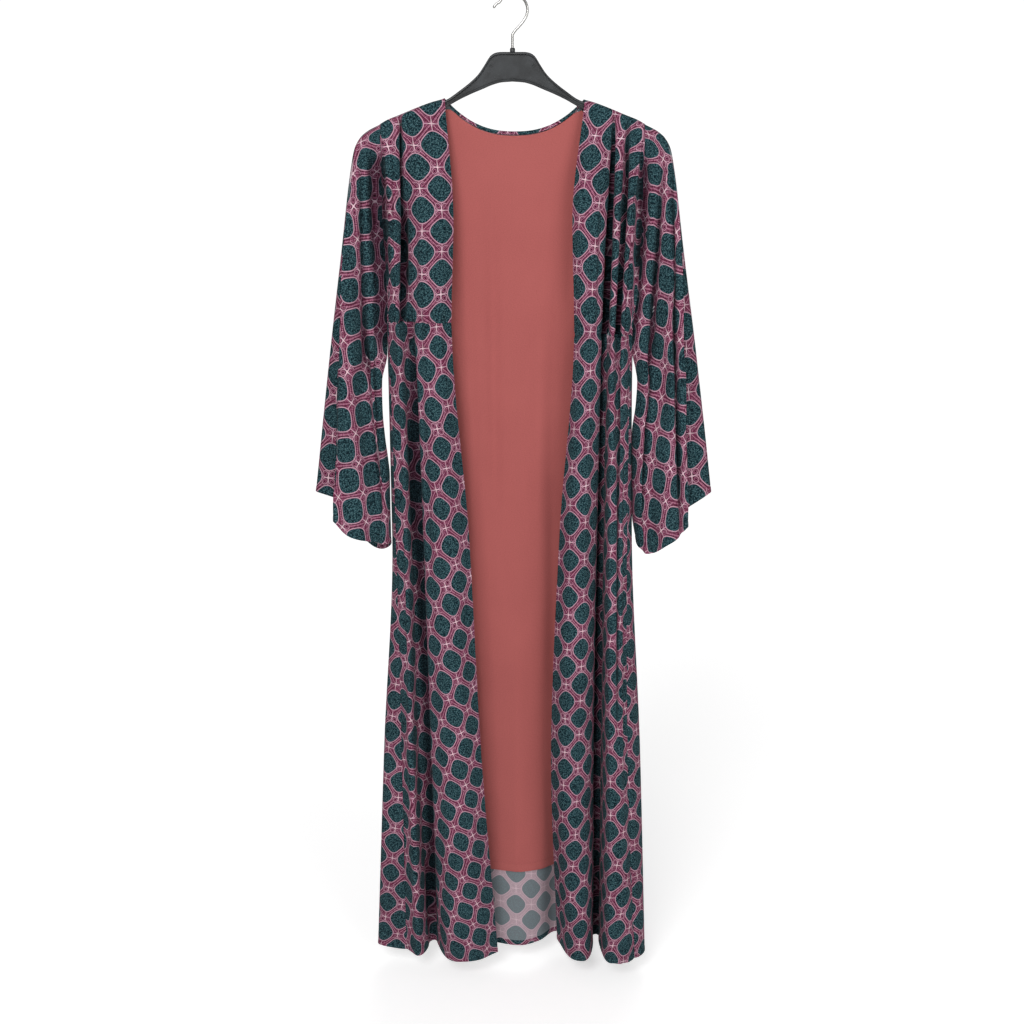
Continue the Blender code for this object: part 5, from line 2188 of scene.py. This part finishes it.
S, N, A = Place.SHOULDER, Place.NECK, Place.ARMHOLE
FRONT_RIGHT = [FoldLine(*row) for row in (
    ("edge", S, -93, -7, None, -82, -14, -86, -17, -64, -18, -48, -18, -23, -18, 0, 6),
    ("roll", S, -116, -7, None, -116, -25, -118, -28, -103, -37, -92, -42, -86, -45, 2.1, 7),
    ("furrow", S, -149, -7, None, -149, -10, -151, -10, -146, -6, -146, 0, -128, 12, 0.8, 5),
    ("crest", S, -181, -7, None, -169, -23, -163, -22, -160, -24, -157, -27, -151, -28, 1.4, 6),
    ("armhole", A, -182.5, -11, -285, None, None, -170, -16, -167, -19, -163, -20, -162, -18, 0, 4),
    ("seam", A, -177.5, -4, -402, None, None, -176.5, -8, -173, -13, -172, -12, -172, -9, 1, 0),
)]
FRONT_LEFT = [FoldLine(*row) for row in (
    ("edge", S, 99, -7, None, 83, -14, 87, -16, 69, -17, 59, -14, 72, 20, 0, 6),
    ("roll", S, 117, -7, None, 109, -26, 108, -29, 100, -38, 94, -42, 112, -43, 2.2, 6),
    ("furrow", S, 139, -7, None, 137, -10, 134, -8, 134, 4, 136, 12, 137, 26, 0.8, 5),
    ("pleat", S, 149, -7, None, 145, -22, 142, -25, 144, -37, 151, -43, 157, -49, 2.2, 3),
    ("tuck", S, 159, -7, None, 152, -13, 149, -15, 154, -36, 161, -44, 170, -51, 0.8, 3),
    ("crest", S, 181, -7, None, 167, -24, 157, -22, 161, -35, 169, -42, 182, -47, 1.2, 6),
    ("armhole", A, 182.5, -11, -285, None, None, 163, -17, 165, -31, 173, -37, 190, -41, 0, 4),
    ("seam", A, 177.5, -4, -402, None, None, 168, -8, 169, -26, 177, -31, 196, -34, 1, 0),
)]
BACK_LINES = [FoldLine(*row) for row in (
    ("seam_right", A, -177.5, -4, -402, None, None, -176.5, -8, -173, -13, -172, -12, -172, -9, 1, 1),
    ("outer_right", A, -178.8, -1, -401, None, None, -178.4, -4, -176.5, -7, -187, -7, -196, -4, 0, 1),
    ("side_right", A, -179.8, 3, -399, None, None, -179.5, 3, -179.5, 4, -200, 6, -219, 8, 0, 5),
    ("wing_right", A, -182.5, 11, -285, None, None, -158, 20, -160, 25, -176, 31, -188, 36, 1.2, 6),
    ("tip_right", S, -181, 7, None, -142, 12, -122, 15, -124, 19, -126, 23, -130, 28, 1, 2),
    ("shoulder_right", S, -136, 7, None, -105, 18, -92, 21, -92, 28, -94, 34, -94, 38, 1, 2),
    ("neck_right", S, -93, 7, None, -76, 16, -66, 18, -64, 23, -60, 27, -60, 24, 1, 4),
    ("nape_right", N, -80, 9, None, -57, 17, -46, 20, -42, 26, -34, 28, -26, 10, 0, 5),
    ("nape", N, 3, 14, None, 2, 20, 1, 23, 2, 27, 6, 25, 12, 1, 1, 5),
    ("nape_left", N, 84, 9, None, 56, 17, 44, 20, 42, 26, 44, 28, 44, 15, 0, 4),
    ("neck_left", S, 99, 7, None, 76, 17, 66, 21, 64, 29, 66, 37, 69, 42, 0, 2),
    ("shoulder_left", S, 136, 7, None, 105, 18, 92, 21, 94, 29, 97, 38, 99, 48, 1, 2),
    ("tip_left", S, 181, 7, None, 142, 12, 122, 15, 126, 24, 131, 36, 136, 44, 1, 6),
    ("wing_left", A, 182.5, 11, -285, None, None, 154, 19, 160, 24, 176, 28, 188, 26, 1.2, 5),
    ("side_left", A, 179.8, 3, -399, None, None, 172.5, 3, 177.5, 0, 198, -3, 214, -8, 0, 1),
    ("outer_left", A, 178.8, -1, -401, None, None, 171.4, -4, 175, -14, 190, -20, 207, -26, 0, 1),
    ("seam_left", A, 177.5, -4, -402, None, None, 168, -8, 169, -26, 177, -31, 196, -34, 1, 0),
)]
SLEEVE_OUTER = (
    (-166, 181.5), (-176, 199.5), (-185, 210), (-200, 218.5),
    (-225, 224), (-330, 240), (-500, 265), (-691, 291),
)
SLEEVE_INNER_RIGHT = (
    (-166, 182.5), (-285, 185), (-402, 181.6), (-450, 180.8), (-484, 181),
    (-525, 190.5), (-565, 189.4), (-610, 185), (-640, 180.8), (-665, 178.4), (-780, 178.2),
)
SLEEVE_INNER_LEFT = (
    (-166, 182.5), (-285, 185), (-402, 176), (-430, 167.8), (-450, 165.8), (-470, 168), (-486, 170.4),
    (-505, 177), (-525, 181), (-560, 179.2), (-600, 174.4), (-640, 174.9),
    (-700, 176.4), (-722, 177.2), (-766, 184.5),
)
SLEEVE_RIGHT_FOLDS = [SleeveFold(*row) for row in (
    ("inner", 0, 181.2, -4, -768, 0),
    ("inner_fold", 0.09, 190, -27, -764, 1.2),
    ("groove", 0.16, 202, -18, -763, 0.8),
    ("front", 0.28, 232, -39, -752, 1.5),
    ("lip", 0.4, 262, -34, -727, 1.2),
    ("tuck", 0.44, 257, -8, -700, 1),
    ("outer", 0.5, 291, 4, -691, 0),
    ("back_fold", 0.62, 262, 31, -712, 1.2),
    ("back_groove", 0.75, 230, 21, -762, 0.9),
    ("back_inner", 0.89, 198, 28, -788, 1.2),
    ("inner", 1, 181.2, -4, -768, 0),
)]
SLEEVE_LEFT_FOLDS = [SleeveFold(*row) for row in (
    ("inner", 0, 184.5, -4, -766, 0),
    ("inner_fold", 0.09, 196, -29, -778, 1.2),
    ("groove", 0.16, 207, -20, -780, 0.8),
    ("front", 0.28, 231, -39, -760, 1.5),
    ("lip", 0.4, 257, -35, -735, 1.2),
    ("tuck", 0.44, 254, -9, -716, 1),
    ("outer", 0.5, 294, 4, -692, 0),
    ("back_fold", 0.62, 268, 34, -722, 1.2),
    ("back_groove", 0.75, 234, 25, -748, 0.9),
    ("back_inner", 0.89, 201, 33, -772, 1.2),
    ("inner", 1, 184.5, -4, -766, 0),
)]
HANGER_STATIONS = [HangerStation(*row) for row in (
    (0, -72.3, -110.8, 5), (16, -72.3, -112, 5), (24, -73.6, -114, 5), (30, -77.4, -116, 5),
    (38, -89.2, -119.4, 5), (46, -100.6, -122.6, 5), (54, -108.5, -125.8, 5), (72, -122.4, -134, 5),
    (93, -135.6, -145.2, 4), (112, -140.8, -153.4, 4), (134, -148.8, -161.6, 4),
    (154, -156.9, -169.4, 3.8), (174, -166.2, -177.4, 3.4), (184, -172.6, -181.2, 2.8),
    (190, -177, -183.6, 2), (192, -179, -183, 1.2),
)]

SHARP = Bend.SHARP
SLOT = Bend.SLOT
BODICE_RIGHT_CREASES = [Crease(*row) for row in (
    (-155, -110, -149, -420, 1.8, -10, SLOT),
    (-148, -240, -159, -580, 3, -13, SLOT),
    (-164, -150, -168, -520, 2.2, -4, SHARP),
    (-133, -260, -139, -520, 4, -3),
    (-107, -140, -101, -300, 7, -1.2),
    (-124, -300, -121, -520, 5, 1.6),
)]
BODICE_LEFT_CREASES = [Crease(*row) for row in (
    (140.5, -110, 130, -560, 1.8, -12, SLOT),
    (136, -260, 129, -600, 2.4, -9, SLOT),
    (161, -120, 145, -560, 2.1, -12, SLOT),
    (150, -170, 139, -520, 4, 2.5),
    (172, -150, 158, -520, 2.2, -5, SHARP),
    (124, -230, 119, -520, 3, -3),
    (110, -150, 97, -330, 7, -1.4),
)]
SKIRT_RIGHT_CREASES = [Crease(*row) for row in (
    (-149, -300, -127, -1600, 5, -16, SLOT),
    (-133, -430, -118, -900, 5, -3),
    (-165, -430, -160, -1100, 5, -4),
    (-105, -520, -84, -1000, 9, 1.8),
    (-120, -800, -110, -1440, 8, -3),
    (-158, -900, -152, -1455, 6, 2.5),
    (-78, -700, -56, -1300, 9, -1.6),
)]
SKIRT_LEFT_CREASES = [Crease(*row) for row in (
    (131, -300, 130.5, -1250, 2, -17, SLOT),
    (130.5, -700, 138, -1700, 2.6, -9, SLOT),
    (149.5, -330, 160, -1150, 1.6, -7, SLOT),
    (119, -430, 112, -900, 5, -2.4),
    (94, -560, 88, -1100, 9, 1.8),
    (161, -480, 176, -1300, 5, -3.5),
    (98, -950, 112, -1450, 8, -2.6),
    (157, -700, 172, -1400, 5, 2),
)]
WAIST_RIGHT_GATHERS = [Crease(*row) for row in (
    (0.16, 14, 0.15, -34, 0.014, 1.6), (0.25, 20, 0.26, -60, 0.016, -2), (0.33, 10, 0.33, -28, 0.012, 1.3),
    (0.41, 24, 0.40, -70, 0.016, -2.2), (0.52, 12, 0.53, -40, 0.014, 1.5), (0.63, 18, 0.62, -48, 0.014, -1.8),
    (0.74, 12, 0.75, -36, 0.013, 1.5), (0.85, 16, 0.84, -44, 0.014, -1.7),
)]
WAIST_LEFT_GATHERS = [Crease(*row) for row in (
    (0.13, 12, 0.12, -36, 0.013, -1.5), (0.21, 18, 0.22, -52, 0.015, 1.8), (0.30, 22, 0.29, -64, 0.015, -2.2),
    (0.42, 12, 0.42, -38, 0.013, 1.5), (0.55, 16, 0.56, -46, 0.014, -1.8), (0.66, 10, 0.66, -30, 0.012, 1.4),
    (0.78, 20, 0.77, -58, 0.014, -2), (0.88, 12, 0.89, -34, 0.012, 1.3),
)]
SLEEVE_RIGHT_CREASES = [Crease(*row) for row in (
    (207, -150, 213, -600, 3, -7, SLOT),
    (213, -400, 192, -780, 3, -8, SLOT),
    (200, -380, 187, -800, 2, -6, SLOT),
    (221, -170, 228, -420, 5, -2),
    (243, -330, 262, -720, 2.6, -9, SLOT),
)]
SLEEVE_LEFT_CREASES = [Crease(*row) for row in (
    (208, -130, 189, -860, 3.2, -12, SLOT),
    (213, -150, 253, -840, 2.8, -12, SLOT),
    (222, -420, 214, -740, 5, -2.2),
)]
SLEEVE_RIGHT_BACK_CREASES = [Crease(*row) for row in (
    (56, -260, 57, -640, 3, -3), (69, -230, 73, -700, 3, -4), (84, -260, 82, -740, 3, -3.5),
)]
SLEEVE_LEFT_BACK_CREASES = [Crease(*row) for row in (
    (55, -240, 58, -650, 3, -3), (68, -250, 72, -720, 3, -4), (85, -240, 83, -730, 3, -3.5),
)]
BACK_CREASES = [Crease(*row) for row in (
    (-120, -170, -70, -620, 9, -3), (118, -170, 74, -560, 9, -3), (-30, -240, -24, -800, 10, 4.4),
    (36, -300, 40, -900, 12, -2.6), (-96, -480, -92, -1250, 9, -3.2), (88, -500, 98, -1300, 9, 5),
    (-150, -420, -168, -1200, 8, 4.6), (150, -440, 170, -1150, 8, -2.8), (0, -820, 12, -1430, 12, -2.2),
    (-60, -900, -62, -1450, 8, 5.2), (60, -940, 68, -1450, 9, -2.6),
)]
LINING_CREASES = [Crease(*row) for row in (
    (-44, -420, -34, -1180, 14, 1.3), (34, -520, 40, -1250, 12, -1.2), (-6, -700, 4, -1320, 10, 1),
    (62, -300, 54, -900, 11, 1.2), (-66, -330, -52, -980, 11, -1.2), (16, -240, 12, -640, 16, -0.8),
)]


@dataclass
class Robe:
    """The whole robe: fronts, back, lining, sleeves and neck binding, sewn together."""

    finishes: Finishes
    drape: Drape = field(default_factory=Drape)
    seam_gap: float = 0.1
    lining_wall: float = 0.8

    def make(self, shell: ClothShell) -> Item:
        """Make the piece of a printed shell in place of its node."""
        piece = shell.build((self.finishes.printed, self.finishes.reverse), "printed_cloth")
        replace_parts(piece, shell.name)
        return piece

    def stitch(self, name: str, shell: ClothShell, hem: Hem) -> Item:
        """Sew the hem of a printed shell."""
        return StitchRow(name, shell, hem.height).build(self.finishes.dark_thread, "printed_cloth")

    def build_front(self, front: Front, back: ClothShell, layouts: tuple[PrintLayout, PrintLayout]) -> None:
        """Make the bodice and the skirt of one front; walls that meet at a seam share their normals.

        Args:
            front: The front.
            back: The back's shell, whose seam it meets.
            layouts: Print layout of the bodice and of the skirt.
        """
        side = front.side.name.lower()
        bodice_grid, bodice_shade = front.bodice()
        skirt_grid, skirt_shade = front.skirt()
        meeting = (bodice_grid[-1] + skirt_grid[0]) / 2
        bodice_grid[-1] = meeting + (0, 0, self.seam_gap / 2)
        skirt_grid[0] = meeting - (0, 0, self.seam_gap / 2)
        bodice = ClothShell(
            f"front_bodice_{side}", bodice_grid,
            front.flat_places(front.bodice_shares(), front.bodice_creases, len(bodice_grid) - 1),
            front.outward(), layouts[0], bodice_shade, turned_columns=front.turned_columns,
        )
        skirt = ClothShell(
            f"front_skirt_{side}", skirt_grid,
            front.flat_places(front.skirt_shares(), front.skirt_creases, 0), front.outward(), layouts[1],
            skirt_shade, turned_rows=front.turned_rows, turned_columns=front.turned_columns,
        )
        bodice.normals[0, :front.column_of("crest") + 1] = (0, 0, 1)
        waist = unit(bodice.normals[-1] + skirt.normals[0])
        bodice.normals[-1] = waist
        skirt.normals[0] = waist
        column = 0 if front.side is Side.RIGHT else -1
        beside = np.concatenate([bodice.normals[:, -1], skirt.normals[1:, -1]])
        shared = unit(beside + back.normals[:, column])
        back.normals[:, column] = shared
        bodice.normals[:, -1] = shared[:len(bodice_grid)]
        skirt.normals[:, -1] = shared[len(bodice_grid) - 1:]
        stitches = self.stitch(f"skirt_hem_stitches_{side}", skirt, front.hem)
        bodice.declare(self.make(bodice), "hung", ("hanger_body",), ())
        skirt.declare(self.make(skirt), "gathered", (bodice.name,), (stitches,))

    def build(self) -> None:
        """Make every piece of the robe in the order of sewing."""
        back = Back(self.drape, BACK_LINES, Facing.BACK, creases=BACK_CREASES, lining_creases=LINING_CREASES)
        grid = back.cloth()
        places = laid_flat(grid, len(back.bodice_shares()) - 1, back.column_of("nape"))
        shell = ClothShell("back", grid, places, back.outward(), PrintLayout(45, 38.5, 20.6, -963.5, 1.06),
                           turned_rows=back.turned_rows)
        for first, last in (("tip_right", "neck_right"), ("neck_left", "tip_left")):
            shell.normals[0, back.column_of(first):back.column_of(last) + 1] = (0, 0, 1)
        right = Front(
            self.drape, FRONT_RIGHT, Facing.FRONT, side=Side.RIGHT, bodice_creases=BODICE_RIGHT_CREASES,
            skirt_creases=SKIRT_RIGHT_CREASES, waist_gathers=WAIST_RIGHT_GATHERS,
        )
        left = Front(
            self.drape, FRONT_LEFT, Facing.FRONT, side=Side.LEFT, bodice_creases=BODICE_LEFT_CREASES,
            skirt_creases=SKIRT_LEFT_CREASES, waist_gathers=WAIST_LEFT_GATHERS,
        )
        self.build_front(right, shell, (
            PrintLayout(46, 41, -20, 244, 1.05), PrintLayout(-41, 40.5, -43.5, -64, 1.25, 0.00035),
        ))
        self.build_front(left, shell, (
            PrintLayout(40.5, 42, 22.5, 306, 1.2), PrintLayout(51, 39.5, 28, -20, 1.25, -0.00012),
        ))
        piece = self.make(shell)
        stitches = self.stitch("back_hem_stitches", shell, back.hem)
        binding = NeckBinding(back).build(self.finishes.printed)
        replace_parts(binding, "neck_binding")
        shell.declare(piece, "hung", ("hanger_body",), (stitches, binding))
        self.build_lining(back)
        self.build_sleeve(Sleeve(
            right, back, Side.RIGHT, SLEEVE_RIGHT_FOLDS, SLEEVE_INNER_RIGHT, SLEEVE_OUTER,
            SLEEVE_RIGHT_CREASES, SLEEVE_RIGHT_BACK_CREASES, channel_floor=12.0,
        ), (PrintLayout(7, 45, -223, -436, 1.2), PrintLayout(38, 44, -240, -452)))
        self.build_sleeve(Sleeve(
            left, back, Side.LEFT, SLEEVE_LEFT_FOLDS, SLEEVE_INNER_LEFT, SLEEVE_OUTER,
            SLEEVE_LEFT_CREASES, SLEEVE_LEFT_BACK_CREASES,
        ), (PrintLayout(-10, 47.5, 190, -565, 1.5), PrintLayout(50, 44.5, 242.5, -445.5)))

    def build_lining(self, back: Back) -> None:
        """Make the lining and the stitches of its hem.

        Args:
            back: The back that it hangs in.
        """
        grid, lining = back.lining(), self.finishes.lining
        places = laid_flat(grid, 0, grid.shape[1] // 2)
        shell = ClothShell("back_lining", grid, places, back.outward(), PrintLayout(0, 42, 0, 0),
                           wall=self.lining_wall)
        piece = shell.build((lining, lining), "lining_cloth")
        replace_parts(piece, "back_lining")
        row = StitchRow("lining_hem_stitches", shell, back.lining_hem.height, on_reverse=True)
        stitches = row.build(self.finishes.rose_thread, "lining_cloth")
        shell.declare(piece, "hung", ("back", "neck_binding"), (stitches,))

    def build_sleeve(self, sleeve: Sleeve, layouts: tuple[PrintLayout, PrintLayout]) -> None:
        """Make the front and the back of one sleeve and the stitches of their hems.

        Args:
            sleeve: The sleeve.
            layouts: Print layout of the front and of the back.
        """
        for shell in sleeve.halves(layouts):
            piece = self.make(shell)
            stitches = self.stitch(f"{shell.name}_stitches", shell, sleeve.hem)
            shell.declare(piece, "hung", (f"front_bodice_{sleeve.side.name.lower()}", "back"), (stitches,))


def main() -> None:
    """Build the robe, its hanger and the studio."""
    logging.basicConfig(level=logging.INFO, format="%(name)s %(message)s")
    finishes = Finishes()
    Robe(finishes).build()
    Hanger(HANGER_STATIONS).build(finishes)
    Studio().build()


if __name__ == "__main__":
    main()
